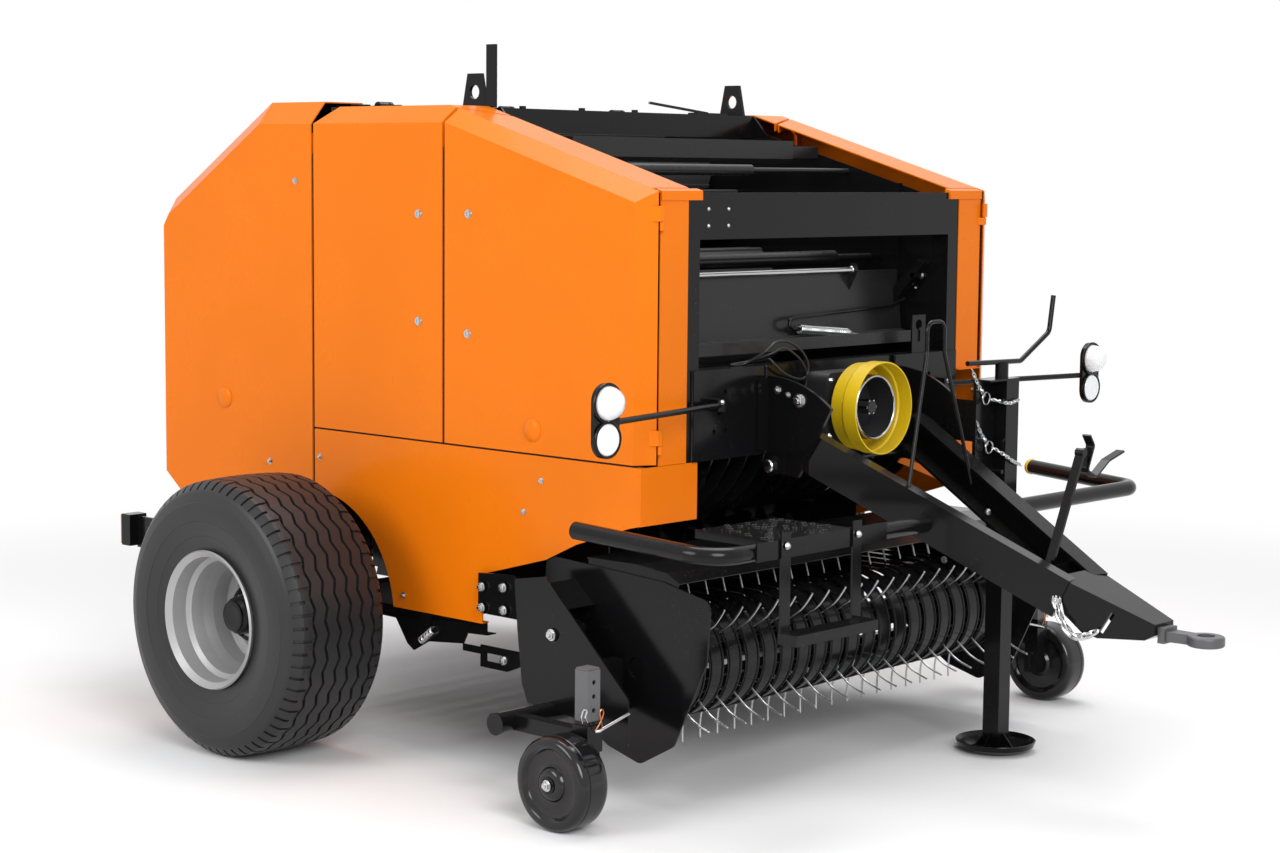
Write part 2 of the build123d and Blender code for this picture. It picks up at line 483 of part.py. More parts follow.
leg -= box(JACK_X - LH + 5, JACK_X + LH - 5, JACK_Y - LH + 5, JACK_Y + LH - 5, 40, 830)
foot_rim = [(0, 0), (86, 0), (122, 18), (128, 34), (124, 36), (116, 22), (84, 5), (60, 8), (0, 12)]
foot_face = make_face(Polyline(*[(r, 0, z) for r, z in foot_rim], close=True))
foot = Pos(JACK_X, JACK_Y, 0) * revolve(foot_face, axis=Axis.Z)
for a in (0, 90, 180, 270):
    gusset = make_face(Polyline((LH, 0, 8), (75, 0, 8), (LH, 0, 60), close=True))
    foot += Pos(JACK_X, JACK_Y, 0) * Rot(0, 0, a) * Pos(0, 2, 0) * extrude(gusset, amount=4, dir=(0, -1, 0))
save("jack_tube", jack_tube)
save("jack_leg", leg + foot)

# Guard tube in two halves, bent separately and welded to the outer faces of the drawbar arms.
NEAR_RUN_Y, FAR_RUN_Y = -1850, -1828
near_end, far_end = (-1128, -1325, GUARD_Z + 19), (1140, -1320, GUARD_Z + 7)
near_tube = bent([near_end, (-1140, NEAR_RUN_Y, GUARD_Z), (-150, NEAR_RUN_Y, GUARD_Z)], GUARD_R, 90, GUARD_R - 3)
far_tube = bent([far_end, (970, FAR_RUN_Y, GUARD_Z), (150, FAR_RUN_Y, GUARD_Z)], GUARD_R, 70, GUARD_R - 3)
# Step: front rail, checker plate on two bearers, straps and a tread.
STEP_X0, STEP_X1 = -935, -585
RUN_FRONT = NEAR_RUN_Y - GUARD_R
step = box(-1000, -430, RUN_FRONT - 6, RUN_FRONT, 793, 845)
step += box(STEP_X0, STEP_X1, RUN_FRONT, -1600, 841, 845)
for x in (STEP_X0, STEP_X1 - 20):
    step += box(x, x + 20, NEAR_RUN_Y, -1600, 822, 841)
for x in (-905, -593):
    step += box(x, x + 40, RUN_FRONT - 12, RUN_FRONT - 6, 566, 866)
step += box(-909, -549, RUN_FRONT - 72, RUN_FRONT - 6, 560, 590)
step -= box(-905, -553, RUN_FRONT - 68, RUN_FRONT - 12, 550, 586)
near_half = near_tube + step
for s, tube in ((-1, near_half), (1, far_tube)):
    cut = bar((s * ARM_REAR[0], ARM_REAR[1], ARM_REAR[2]), (s * ARM_FRONT[0], ARM_FRONT[1], ARM_FRONT[2]), 60.6, 200)
    tube -= cut
    tube = tube.solids().sort_by(SortBy.VOLUME)[-1]
    if s < 0:
        near_half = tube
    else:
        far_tube = tube
save("guard_tube", near_half, far_tube)
cap_way = Vector(*far_end) - Vector(970, FAR_RUN_Y, GUARD_Z)
cap_way = cap_way.normalized()
cap_start = Vector(*far_end) + cap_way * 0.3
cap_stop = Vector(*far_end) + cap_way * 16
guard_cap = rod(tuple(cap_start), tuple(cap_stop), GUARD_R + 2)
save("guard_cap", fillet(guard_cap.edges().filter_by(GeomType.CIRCLE), 5))

# Shaft guard: a stepped bell around the output shaft, and the gearbox that carries it.
SHAFT_Z = 1118
bell_rim = [(-1535, 142), (-1535, 138), (-1490, 138), (-1485, 134), (-1440, 130), (-1440, 100.3), (-1436, 100.3),
            (-1436, 134), (-1480, 138), (-1487, 142)]
bell = revolve(make_face(Polyline(*[(0, y, SHAFT_Z + r) for y, r in bell_rim], close=True)),
               axis=Axis((0, 0, SHAFT_Z), (0, 1, 0)))
save("shaft_guard", bell)
gearbox = box(-120, 120, -1405, PLATE_Y + 7.7, SHAFT_Z - 110, SHAFT_Z + 105)
gearbox = fillet(gearbox.edges().filter_by(Axis.Y), 30)
gearbox += rod((0, -1500, SHAFT_Z), (0, -1405, SHAFT_Z), 100, 94)
gearbox += rod((0, -1410, SHAFT_Z), (0, -1404, SHAFT_Z), 100)
gearbox += rod((0, -1490, SHAFT_Z), (0, -1405, SHAFT_Z), 20)
save("gearbox", gearbox)

# Wire stand and forked rest for the drive shaft.
stand = bent([(-203, -1784, 905), (-44, -1724, 1300), (-44, -1724, 1392), (44, -1724, 1392), (44, -1724, 1300),
              (202, -1740, 830)], 6, 30)
rest = bar((-28, HITCH_Y + 517.3, HITCH_Z + 92), (150, HITCH_Y + 517.3, HITCH_Z + 470), 10, 28, up=(0, 1, 0))
rest += strap([(178, HITCH_Y + 517.3, 1072), (202, HITCH_Y + 517.3, 1040), (170, HITCH_Y + 517.3, 968),
               (218, HITCH_Y + 517.3, 945), (285, HITCH_Y + 517.3, 988), (367, HITCH_Y + 517.3, 1010)],
              28, 6, 12, (0, 1, 0))
rest += rod((150, HITCH_Y + 503, 1022), (150, HITCH_Y + 531, 1022), 13)
rest += box(150, 193, HITCH_Y + 514, HITCH_Y + 520, 1010, 1034)
for s in (-1, 1):
    tube = bar((s * ARM_REAR[0], ARM_REAR[1], ARM_REAR[2]), (s * ARM_FRONT[0], ARM_FRONT[1], ARM_FRONT[2]), 60.6, 118.6)
    stand -= tube
    rest -= tube
rest -= box(-200, 200, HITCH_Y + 500, HITCH_Y + 512.3, 600, 720)
save("shaft_rests", stand.solids().sort_by(SortBy.VOLUME)[-1], rest)

# Marker lamps: arms on the crossbeam plates, oval holders, a domed lamp over a flat reflector.
holders, marker = [], []
for s in (-1, 1):
    arm_start = (s * 560, PLATE_Y - 27, 1150)
    holder = rod(arm_start, (s * 1175, LAMP_Y + 2, 1152), 9)
    holder += box(s * 545, s * 577, PLATE_Y - 36, PLATE_Y - 0.3, 1132, 1168)
    oval = plate_y([(s * (LAMP_X - 50), 1056), (s * (LAMP_X + 50), 1056), (s * (LAMP_X + 50), 1262),
                    (s * (LAMP_X - 50), 1262)], LAMP_Y - 8, LAMP_Y + 4, 49)
    holder += oval
    holders.append(holder)
    marker.append(lens(s * LAMP_X, LAMP_Y - 8.3, 1208, LAMP_R, 30))
    marker.append(lens(s * LAMP_X, LAMP_Y - 8.3, 1108, LAMP_R - 4, 7))
save("lamp_arms", holders)
save("marker_lamps", marker)
BAR_Z = TYRE_R + AXLE_H / 2 + 0.3
lamp_bar = box(840, 852, -60, LAMP_END_Y - 60, BAR_Z, BAR_Z + 112)
lamp_bar += box(812, 884, LAMP_END_Y - 60, LAMP_END_Y - 10.3, BAR_Z + 6, BAR_Z + 118)
save("lamp_bars", both(lamp_bar))
save("rear_lamps", both(box(816, 880, LAMP_END_Y - 10, LAMP_END_Y, BAR_Z + 10, BAR_Z + 114)))

# Binding unit in the front opening: feed roller, guide tube, twine trough and grey cross parts.
END_X = WALL_X - 16.3
trough = plate_x([(-1128, 1515), (-1124, 1515), (-1148, 1316), (-1152, 1316)], -END_X, END_X)
trough += plate_x([(-1259, 1289), (-1148, 1320), (-1148, 1316), (-1259, 1285)], -END_X, END_X)
trough += box(-END_X, END_X, -1259, -1255, 1285, 1322)
for x in (-583, 325):
    trough += plate_x([(-1126, 1500), (-1133, 1450), (-1172, 1520), (-1162, 1538), (-1140, 1540)], x, x + 5)
trough += disc(-END_X, 332, -1150, 1520, 8)
feed_roller = disc(-580, 410, -1000, 1552, 25) + disc(-WALL_X, WALL_X, -1000, 1552, 12)
cross_beam = box(-WALL_X, 450, -790, -710, 1861, 1937) + box(450, WALL_X, -770, -730, 1880, 1920)
cross_beam -= plate_x([(-800, 1850), (-800, 1890), (-770, 1850)], -WALL_X - 1, 460)
idle = disc(-WALL_X, 100, -900, 1838, 18) + disc(100, WALL_X, -900, 1838, 9)
save("binder", trough, feed_roller, cross_beam, idle)

# Cable of the binder control, looped over the crossbeam.
cable_way = [(-430, -1282, BEAM_TOP + 4.3), (-374, -1292, BEAM_TOP + 4.3), (-338, -1342, BEAM_TOP + 60),
             (-243, -1344, 1320), (-172, -1344, 1293), (-130, -1344, 1246), (-136, -1344, 1212),
             (-170, -1344, 1201), (-264, -1344, 1231), (-294, -1344, BEAM_TOP + 12), (-298, -1305, BEAM_TOP + 4.3),
             (-298, -1264, BEAM_TOP + 4.3)]
save("cable", bent(cable_way, 4, 9))

# Road wheels: wide low tyres on deep rims, whose disc is dished towards the machine.
half = TYRE_W / 2
crown = ThreePointArc((half * .76, 0, TYRE_R * .984), (0, 0, TYRE_R), (-half * .76, 0, TYRE_R * .984))
left_side = Polyline((-half * .76, 0, TYRE_R * .984), (-half * .91, 0, TYRE_R * .93), (-half * .985, 0, TYRE_R * .84),
                     (-half, 0, TYRE_R * .75), (-half * .985, 0, TYRE_R * .66), (-half * .9, 0, RIM_R * 1.06),
                     (-half * .9, 0, RIM_R), (half * .9, 0, RIM_R), (half * .9, 0, RIM_R * 1.06),
                     (half * .985, 0, TYRE_R * .66), (half, 0, TYRE_R * .75), (half * .985, 0, TYRE_R * .84),
                     (half * .91, 0, TYRE_R * .93), (half * .76, 0, TYRE_R * .984))
tyre = Pos(TYRE_X, 0, TYRE_R) * revolve(make_face(crown.edges() + left_side.edges()), axis=Axis.X)
F = RIM_R
rim = turned([(-174, F - 0.3), (-174, F - 10), (-120, F - 14), (-104, F - 36), (-40, F - 48), (40, F - 48),
              (70, F - 36), (110, F - 30), (120, F - 14), (172, F - 10), (186, F + 2), (192, F - 2), (176, F - 20),
              (128, F - 24), (116, F - 38), (76, F - 46), (44, F - 56), (-8, F - 56), (-14, 130), (6, 96),
              (6, 34), (-6, 34), (-6, 92), (-26, 128), (-26, F - 56), (-44, F - 56), (-110, F - 44), (-126, F - 24),
              (-182, F - 20), (-192, F - 2), (-186, F + 2)], TYRE_X, 0, TYRE_R)
hub = turned([(6.3, 31), (6.3, 78), (26, 78), (32, 60), (74, 56), (84, 46), (90, 46), (90, 38), (40, 38), (40, 31)],
             TYRE_X, 0, TYRE_R)
hub += turned([(-120, 31), (-120, 60), (-60, 60), (-30, 84), (-6.3, 84), (-6.3, 31)], TYRE_X, 0, TYRE_R)
rim += hub + disc(TYRE_X - 7, TYRE_X + 7, 0, TYRE_R, 50, 31)
for k in range(6):
    a = radians(60 * k)
    rim += disc(TYRE_X + 5, TYRE_X + 30, 66 * cos(a), TYRE_R + 66 * sin(a), 9)
for side, s in (("left", 1), ("right", -1)):
    flip = (lambda q: q) if s == 1 else (lambda q: mirror(q, about=Plane.YZ))
    save(f"tyre_{side}", flip(tyre))
    save(f"rim_{side}", flip(rim))

# Arms on the chassis that the pickup hangs from, with the brackets of its lift springs.
arm_edge = [(-1112, 462), (-1100, 512), (-1060, 522), (-812, 616), (-667, 606), (-667, 486), (-815, 486),
            (-1060, 446)]
lift_arm = plate_x(arm_edge, 872, 882)
for y, z in ((-689, 566), (-784, 575), (-689, 476 + 26), (-786, 486 + 20)):
    lift_arm += disc(882, 889, y, z, 10)
lift_arm += disc(843, 976, PICKUP_Y, PICKUP_Z, 20)
lift_arm += disc(WALL_X + WALL + 0.3, 872, -705, 550, 30)
spring_arm = box(WALL_X + WALL + 0.3, 852, -420, -360, 412, 438)
spring_arm += plate_x([(-600, 438), (-240, 412), (-300, 330), (-330, 312), (-400, 350), (-560, 366)], 840, 846)
slotted = plate_x([(-640, 374), (-820, 374), (-820, 330), (-760, 306), (-640, 306)], 840, 847)
slotted -= box(838, 850, -740, -665, 326, 352)
spring_arm += slotted + box(840, 847, -660, -560, 345, 366)
save("pickup_arms", both(lift_arm), both(spring_arm))

# Pickup: side plates, box plates, cross tube and wind guard, lifting about one axis.
inner_edge = [(-930, 690), (-1400, 664), (-1586, 628), (-1574, 450), (-1450, 190), (-1320, 118),
              (REEL_Y + 110, REEL_Z - BAND_R - 83), (REEL_Y + 345, REEL_Z - BAND_R + 65), (-920, 430)]
box_edge = [(-918, 628), (-1046, 650), (-1384, 337), (-1386, 200), (-1150, 252), (-975, 262), (-950, 320),
            (-930, 483)]
PLATE_IN = PICKUP_X - 6
inner_plate = plate_x(inner_edge, PLATE_IN, PICKUP_X, 34)
box_plate = plate_x(box_edge, 964, 970, 9)
box_plate -= disc(960, 975, -1066, 250, 30.4)
side_plate = inner_plate + box_plate + box(PICKUP_X, 964, REEL_Y + 50, REEL_Y + 90, 265, 420)
side_plate += bar((907, -1052, 630), (907, -1130, 562), 114, 5, up=(0, 1, 1))
side_plate += disc(PLATE_IN - 12, PLATE_IN, REEL_Y, REEL_Z, 45)
side_plate -= disc(PLATE_IN - 14, PICKUP_X + 2, REEL_Y, REEL_Z, 30.6)
side_plate -= disc(PLATE_IN - 4, 980, PICKUP_Y, PICKUP_Z, 20.5)
RAIL_Y = REEL_Y + 265
pickup = disc(-PLATE_IN, PLATE_IN, REEL_Y + TIP_R + 42, REEL_Z - 78, 32)
pickup += box(-PLATE_IN, PLATE_IN, RAIL_Y, RAIL_Y + 30, REEL_Z + BAND_R - 25, REEL_Z + BAND_R - 3)
pickup += box(-PLATE_IN, PLATE_IN, RAIL_Y, RAIL_Y + 30, REEL_Z - BAND_R + 3, REEL_Z - BAND_R + 25)
guard_z = REEL_Z + TIP_R + 6
pickup += plate_x([(REEL_Y + 205, guard_z), (REEL_Y, guard_z + 2), (REEL_Y - 110, guard_z - 10),
                   (REEL_Y - 160, guard_z - 34), (REEL_Y - 162, guard_z - 31), (REEL_Y - 112, guard_z - 6),
                   (REEL_Y, guard_z + 6), (REEL_Y + 205, guard_z + 4)], -PLATE_IN, PLATE_IN)
side_plate += plate_x([(REEL_Y + 200, 640), (REEL_Y - 150, 640), (REEL_Y - 158, guard_z - 32),
                       (REEL_Y - 110, guard_z - 8), (REEL_Y, guard_z + 4), (REEL_Y + 200, guard_z + 2)],
                      PLATE_IN - 5, PLATE_IN)
for s in (-1, 1):
    pickup += side_plate if s == 1 else mirror(side_plate, about=Plane.YZ)
save("pickup_frame", pickup)
TUBE_Y, TUBE_Z, POST_X = -1066, 250, 1115
gauge_arm = disc(PICKUP_X, 1184, TUBE_Y, TUBE_Z, 30, 26) + disc(1180, 1190, TUBE_Y, TUBE_Z, 33)
gauge_arm += box(POST_X - 22, POST_X + 22, GAUGE_Y - 12, TUBE_Y - 20, TUBE_Z - 22, TUBE_Z + 22)
gauge_arm += box(POST_X - 30, POST_X + 30, GAUGE_Y - 42, GAUGE_Y + 18, TUBE_Z - 40, TUBE_Z + 38)
post = box(POST_X - 25, POST_X + 25, GAUGE_Y - 37, GAUGE_Y + 13, GAUGE_R - 25, 445)
post -= box(POST_X - 20, POST_X + 20, GAUGE_Y - 32, GAUGE_Y + 8, GAUGE_R + 60, 450)
for z in (330, 370, 410):
    post -= rod((POST_X, GAUGE_Y - 45, z), (POST_X, GAUGE_Y + 20, z), 7)
gauge_arm += post + disc(POST_X, GAUGE_X + GAUGE_W / 2 + 6, GAUGE_Y, GAUGE_R, 15)
gauge_arm += disc(GAUGE_X + GAUGE_W / 2 + 1, GAUGE_X + GAUGE_W / 2 + 4, GAUGE_Y, GAUGE_R, 24)
save("gauge_arms", both(gauge_arm))

# Stripper bands between the tine rows: open hoops whose legs lie on the two rails.
bands = []
for i in range(TINES + 1):
    x = (i - TINES / 2) * TINE_PITCH
    low, high = max(x - BAND_W / 2, -PLATE_IN + 0.3), min(x + BAND_W / 2, PLATE_IN - 0.3)
    band = disc(low, high, REEL_Y, REEL_Z, BAND_R, BAND_R - 3)
    band -= box(x - BAND_W, x + BAND_W, REEL_Y, REEL_Y + 300, 0, 800)
    band += box(low, high, REEL_Y, RAIL_Y + 30, REEL_Z + BAND_R - 3, REEL_Z + BAND_R)
    band += box(low, high, REEL_Y, RAIL_Y + 30, REEL_Z - BAND_R, REEL_Z - BAND_R + 3)
    bands.append(band)
save("pickup_bands", bands)

# Tined reel: a shaft, three spiders and five bars with rows of sprung tines, kinked near the tip.
KNEE_R, BAR_R = 215, 115
reel = disc(-PLATE_IN, PLATE_IN, REEL_Y, REEL_Z, 30)
for x in (-822, 0, 822):
    reel += disc(x - 4, x + 4, REEL_Y, REEL_Z, 130)
for k in range(TINE_BARS):
    a = radians(145 + 360 / TINE_BARS * k)
    b = a + radians(4)
    reel += disc(-826, 826, REEL_Y + BAR_R * cos(a), REEL_Z + BAR_R * sin(a), 14)
    tines = []
    for i in range(TINES):
        x = (i - (TINES - 1) / 2) * TINE_PITCH
        root = (x, REEL_Y + BAR_R * cos(a), REEL_Z + BAR_R * sin(a))
        knee = (x, REEL_Y + KNEE_R * cos(a), REEL_Z + KNEE_R * sin(a))
        tip = (x, REEL_Y + TIP_R * cos(b), REEL_Z + TIP_R * sin(b))
        tines += [bar(root, knee, 5.5, 5.5, up=(1, 0, 0)), bar(knee, tip, 5.4, 5.4, up=(1, 0, 0))]
    reel += tines
save("reel", reel)

# Gauge wheels of the pickup: solid, with a raised tread band and a dished face.
G, W = GAUGE_R, GAUGE_W / 2
gauge = turned([(-W, 15.5), (-W, 40), (-W + 14, 46), (-W + 14, G - 40), (-W, G - 34), (-W, G - 12), (-W + 14, G),
                (W - 14, G), (W, G - 12), (W, G - 34), (W - 14, G - 40), (W - 14, 46), (W, 40), (W, 15.5)],
               GAUGE_X, GAUGE_Y, GAUGE_R)
save("gauge_wheel_left", gauge)
save("gauge_wheel_right", mirror(gauge, about=Plane.YZ))
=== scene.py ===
import bpy
import bmesh
import math
from mathutils import Matrix, Vector


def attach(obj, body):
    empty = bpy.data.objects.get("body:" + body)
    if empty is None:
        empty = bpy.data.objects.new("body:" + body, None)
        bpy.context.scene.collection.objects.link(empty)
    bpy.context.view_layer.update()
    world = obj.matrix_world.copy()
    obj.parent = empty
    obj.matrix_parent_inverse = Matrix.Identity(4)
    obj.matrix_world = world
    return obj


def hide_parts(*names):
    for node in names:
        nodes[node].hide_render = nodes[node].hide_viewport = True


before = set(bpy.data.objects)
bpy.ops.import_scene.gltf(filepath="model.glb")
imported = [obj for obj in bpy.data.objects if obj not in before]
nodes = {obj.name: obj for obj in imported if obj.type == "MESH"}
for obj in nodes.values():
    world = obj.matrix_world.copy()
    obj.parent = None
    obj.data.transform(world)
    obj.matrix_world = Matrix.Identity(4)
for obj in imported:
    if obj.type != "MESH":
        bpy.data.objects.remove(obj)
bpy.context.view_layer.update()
AXLE = 0.755          # the main axle lies this far behind the origin, in metres
scene = bpy.context.scene

# The photographer's place: a long lens at head height off the right front
# corner, looking slightly down, level but for half a degree.
PHOTO_WIDE, FOCAL_PIXELS, SENSOR = 1280, 2418.59, 36
EYE = Vector((-5.8913, -6.0129 + AXLE, 1.8367))
YAW, PITCH, ROLL = math.radians(43.02), math.radians(6.063), math.radians(0.52)
camera = bpy.data.objects.new("camera", bpy.data.cameras.new("camera"))
scene.collection.objects.link(camera)
scene.camera = camera
camera.data.sensor_width = SENSOR
camera.data.lens = FOCAL_PIXELS / PHOTO_WIDE * SENSOR
camera.data.clip_end = 200
ahead = Vector((math.cos(YAW) * math.cos(PITCH), math.sin(YAW) * math.cos(PITCH), -math.sin(PITCH)))
right = Vector((math.sin(YAW), -math.cos(YAW), 0))
above = right.cross(ahead)
right, above = (right * math.cos(ROLL) + above * math.sin(ROLL),
                above * math.cos(ROLL) - right * math.sin(ROLL))
turn = Matrix((right, above, -ahead)).transposed()
camera.matrix_world = Matrix.Translation(EYE) @ turn.to_4x4()
scene.view_settings.view_transform = "Standard"


class Wire:
    """A socket in a node tree. Sums on it add Math nodes, and put() adds any other node."""

    def __init__(self, tree, socket=None):
        self.tree, self.socket = tree, socket

    def put(self, kind, feeds=None, out=0, **settings):
        """A node of a kind with its settings, fed by values, sockets or lists of sockets."""
        node = self.tree.nodes.new(kind)
        for key, value in settings.items():
            setattr(node, key, value)
        for key, value in (feeds or {}).items():
            for one in (value if isinstance(value, list) else [value]):
                if isinstance(one, Wire):
                    self.tree.links.new(one.socket, node.inputs[key])
                else:
                    node.inputs[key].default_value = one
        return Wire(self.tree, node.outputs[out] if node.outputs else None)

    def other(self, out):
        """Another output of the same node."""
        return Wire(self.tree, self.socket.node.outputs[out])

    def math(self, operation, *terms):
        return self.put("ShaderNodeMath", dict(enumerate(terms)), operation=operation)

    def __add__(self, other):
        return self.math("ADD", self, other)

    def __sub__(self, other):
        return self.math("SUBTRACT", self, other)

    def __mul__(self, other):
        return self.math("MULTIPLY", self, other)

    def __radd__(self, other):
        return self.math("ADD", other, self)

    def __rsub__(self, other):
        return self.math("SUBTRACT", other, self)

    def __rmul__(self, other):
        return self.math("MULTIPLY", other, self)

    def step(self, low, high):
        """0 below low, 1 above high and smooth between."""
        return self.put("ShaderNodeMapRange", {0: self, 1: low, 2: high, 3: 0.0, 4: 1.0},
                        interpolation_type="SMOOTHSTEP")

    def tint(self, share, colour):
        """This colour turned towards another by a share from 0 to 1."""
        return self.put("ShaderNodeMix", {0: share, 6: self, 7: (*colour, 1)}, out=2, data_type="RGBA")


def begin(name):
    """A new material with nothing in it but its output."""
    material = bpy.data.materials.new(name)
    material.use_nodes = True
    material.node_tree.nodes.clear()
    return material, Wire(material.node_tree)


def close(wire, shader):
    """Leads a shader to the material's output."""
    wire.put("ShaderNodeOutputMaterial", {"Surface": shader})


# Studio: a pale floor that turns to plain white away from the machine, a white
# surround, and three broad lamps, the strongest ahead of the machine and to the right.
world = bpy.data.worlds.new("surround")
scene.world = world
world.use_nodes = True
world.node_tree.nodes.clear()
sky = Wire(world.node_tree)
path = sky.put("ShaderNodeLightPath", out="Is Camera Ray")
seen = path.math("MAXIMUM", path.math("MAXIMUM", path, path.other("Is Glossy Ray")),
                 path.other("Is Transmission Ray"))
white = sky.put("ShaderNodeBackground", {"Color": (1, 1, 1, 1), "Strength": 1.0})
glow = sky.put("ShaderNodeBackground", {"Color": (1, 1, 1, 1), "Strength": 0.55})
sky.put("ShaderNodeOutputWorld", {"Surface": sky.put("ShaderNodeMixShader", {0: seen, 1: glow, 2: white})})

lamps = (("key", (-4.5, -7.5, 5.0), 5.0, 520), ("fill", (-7.5, 1.5, 4.0), 4.0, 240),
         ("top", (1.0, 0.5, 6.5), 5.0, 260))
for name, place, size, power in lamps:
    lamp = bpy.data.objects.new(name, bpy.data.lights.new(name, "AREA"))
    lamp.data.shape, lamp.data.size, lamp.data.energy = "DISK", size, power
    lamp.location = place
    lamp.rotation_mode = "QUATERNION"
    lamp.rotation_quaternion = (Vector(place) - Vector((0, 0, 1))).to_track_quat("Z", "Y")
    scene.collection.objects.link(lamp)

ground = bpy.data.meshes.new("floor")
ground.from_pydata([(-60, -60, 0), (60, -60, 0), (60, 60, 0), (-60, 60, 0)], [], [(0, 1, 2, 3)])
floor = bpy.data.objects.new("floor", ground)
scene.collection.objects.link(floor)
pale, wire = begin("pale_floor")
away = wire.put("ShaderNodeVectorMath", {0: wire.put("ShaderNodeTexCoord", out=3)}, out=1,
                operation="LENGTH").step(2.6, 6.0)
path = wire.put("ShaderNodeLightPath")
seen = path.math("MAXIMUM", path, path.other("Is Glossy Ray"))
matt = wire.put("ShaderNodeBsdfDiffuse", {"Color": (0.86, 0.86, 0.87, 1)})
blank = wire.put("ShaderNodeEmission", {"Color": (1, 1, 1, 1), "Strength": 1.0})
close(wire, wire.put("ShaderNodeMixShader", {0: away * seen, 1: matt, 2: blank}))
ground.materials.append(pale)


# Chassis weldment: chamber walls, front frame, cross bars and axle, cut and folded from
# sheet and tube, welded together and sprayed gloss black. The driven rotor and the feed
# channel between the walls are finished the same way.
def dress(material, *names):
    """Gives CAD nodes their material."""
    for name in names:
        slots = nodes[name].data.materials
        slots.clear()
        slots.append(material)


BARE_STEEL = (0.4, 0.4, 0.41)


def paint(name, colour, rough, coat=0.0, peel=0.03, dust=(0.30, 0.29, 0.28), dusty=0.0, scuff=0.0, metal=0.0,
          gloss=0.5, patch=None):
    """Sprayed paint, plastic or plated metal: orange peel in the bump, cloudy gloss, fine rubbed
    marks, and dust that settles on faces that look up. A patch is a place on either side of the
    machine, the half size of a block around it and the colour that everything in the block has."""
    material, wire = begin(name)
    spot = wire.put("ShaderNodeTexCoord", out=3)
    cloud = wire.put("ShaderNodeTexNoise", {"Vector": spot, "Scale": 2.6, "Detail": 5.0, "Roughness": 0.55})
    skin = wire.put("ShaderNodeTexNoise", {"Vector": spot, "Scale": 260.0, "Detail": 2.0})
    wave = wire.put("ShaderNodeTexNoise", {"Vector": spot, "Scale": 7.0, "Detail": 1.0})
    grit = wire.put("ShaderNodeTexNoise", {"Vector": spot, "Scale": 90.0, "Detail": 6.0, "Roughness": 0.75})
    up = wire.put("ShaderNodeSeparateXYZ", {0: wire.put("ShaderNodeNewGeometry", out=1)}, out=2)
    settled = up.step(0.45, 0.98) * (0.35 + 0.65 * grit.step(0.38, 0.66)) * dusty
    tone = wire.put("ShaderNodeRGB")
    tone.socket.default_value = (*colour, 1)
    if patch:
        middle, half, other_colour = patch
        off = wire.put("ShaderNodeVectorMath", {0: spot}, operation="ABSOLUTE")
        off = wire.put("ShaderNodeVectorMath", {0: off, 1: middle}, operation="SUBTRACT")
        off = wire.put("ShaderNodeVectorMath", {0: off}, operation="ABSOLUTE")
        inside = [1 - wire.put("ShaderNodeSeparateXYZ", {0: off}, out=axis).step(half[axis], half[axis] + 0.001)
                  for axis in range(3)]
        tone = tone.tint(inside[0] * inside[1] * inside[2], other_colour)
    tone = tone.tint(0.16 * cloud.step(0.35, 0.7), tuple(0.75 * c for c in colour))
    tone = tone.tint(settled, dust)
    rough_map = rough + 0.12 * (cloud - 0.5) + settled * 0.35
    if scuff:
        rubbed = wire.put("ShaderNodeTexVoronoi", {"Vector": spot, "Scale": 34.0}, feature="DISTANCE_TO_EDGE")
        mark = (1 - rubbed.step(0.0, 0.02)) * grit.step(0.52, 0.7) * cloud.step(0.5, 0.62) * scuff
        tone = tone.tint(mark, BARE_STEEL)
        rough_map = rough_map + mark * 0.2
    bump = wire.put("ShaderNodeBump", {"Height": skin + 9.0 * wave, "Strength": peel, "Distance": 0.0012})
    close(wire, wire.put("ShaderNodeBsdfPrincipled", {
        "Base Color": tone, "Roughness": rough_map, "Metallic": metal, "Coat Weight": coat, "Coat Roughness": 0.05,
        "Specular IOR Level": gloss, "Normal": bump}))
    return material


BLACK = (0.0045, 0.0045, 0.005)
black = paint("black_paint", BLACK, 0.17, coat=0.03, dusty=0.04, scuff=0.25, gloss=0.2, peel=0.015)
dress(black, "housing_walls", "front_frame", "top_bars", "axle", "feed_rotor", "feed_channel")


def at(x, y, z):
    """A place in metres, from millimetres to the left, behind the axle and above the ground."""
    return Vector((x / 1000, y / 1000 + AXLE, z / 1000))


def keep(name, mesh, body, *stands_for, crease=32):
    """Puts a finished mesh on the body that carries it, shaded smooth but for its creases."""
    fair = bmesh.new()
    fair.from_mesh(mesh)
    for edge in fair.edges:
        edge.smooth = edge.calc_face_angle(0) < math.radians(crease)
    for face in fair.faces:
        face.smooth = True
    fair.to_mesh(mesh)
    fair.free()
    thing = bpy.data.objects.new(name, mesh)
    scene.collection.objects.link(thing)
    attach(thing, body)
    if stands_for:
        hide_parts(*stands_for)
    return thing


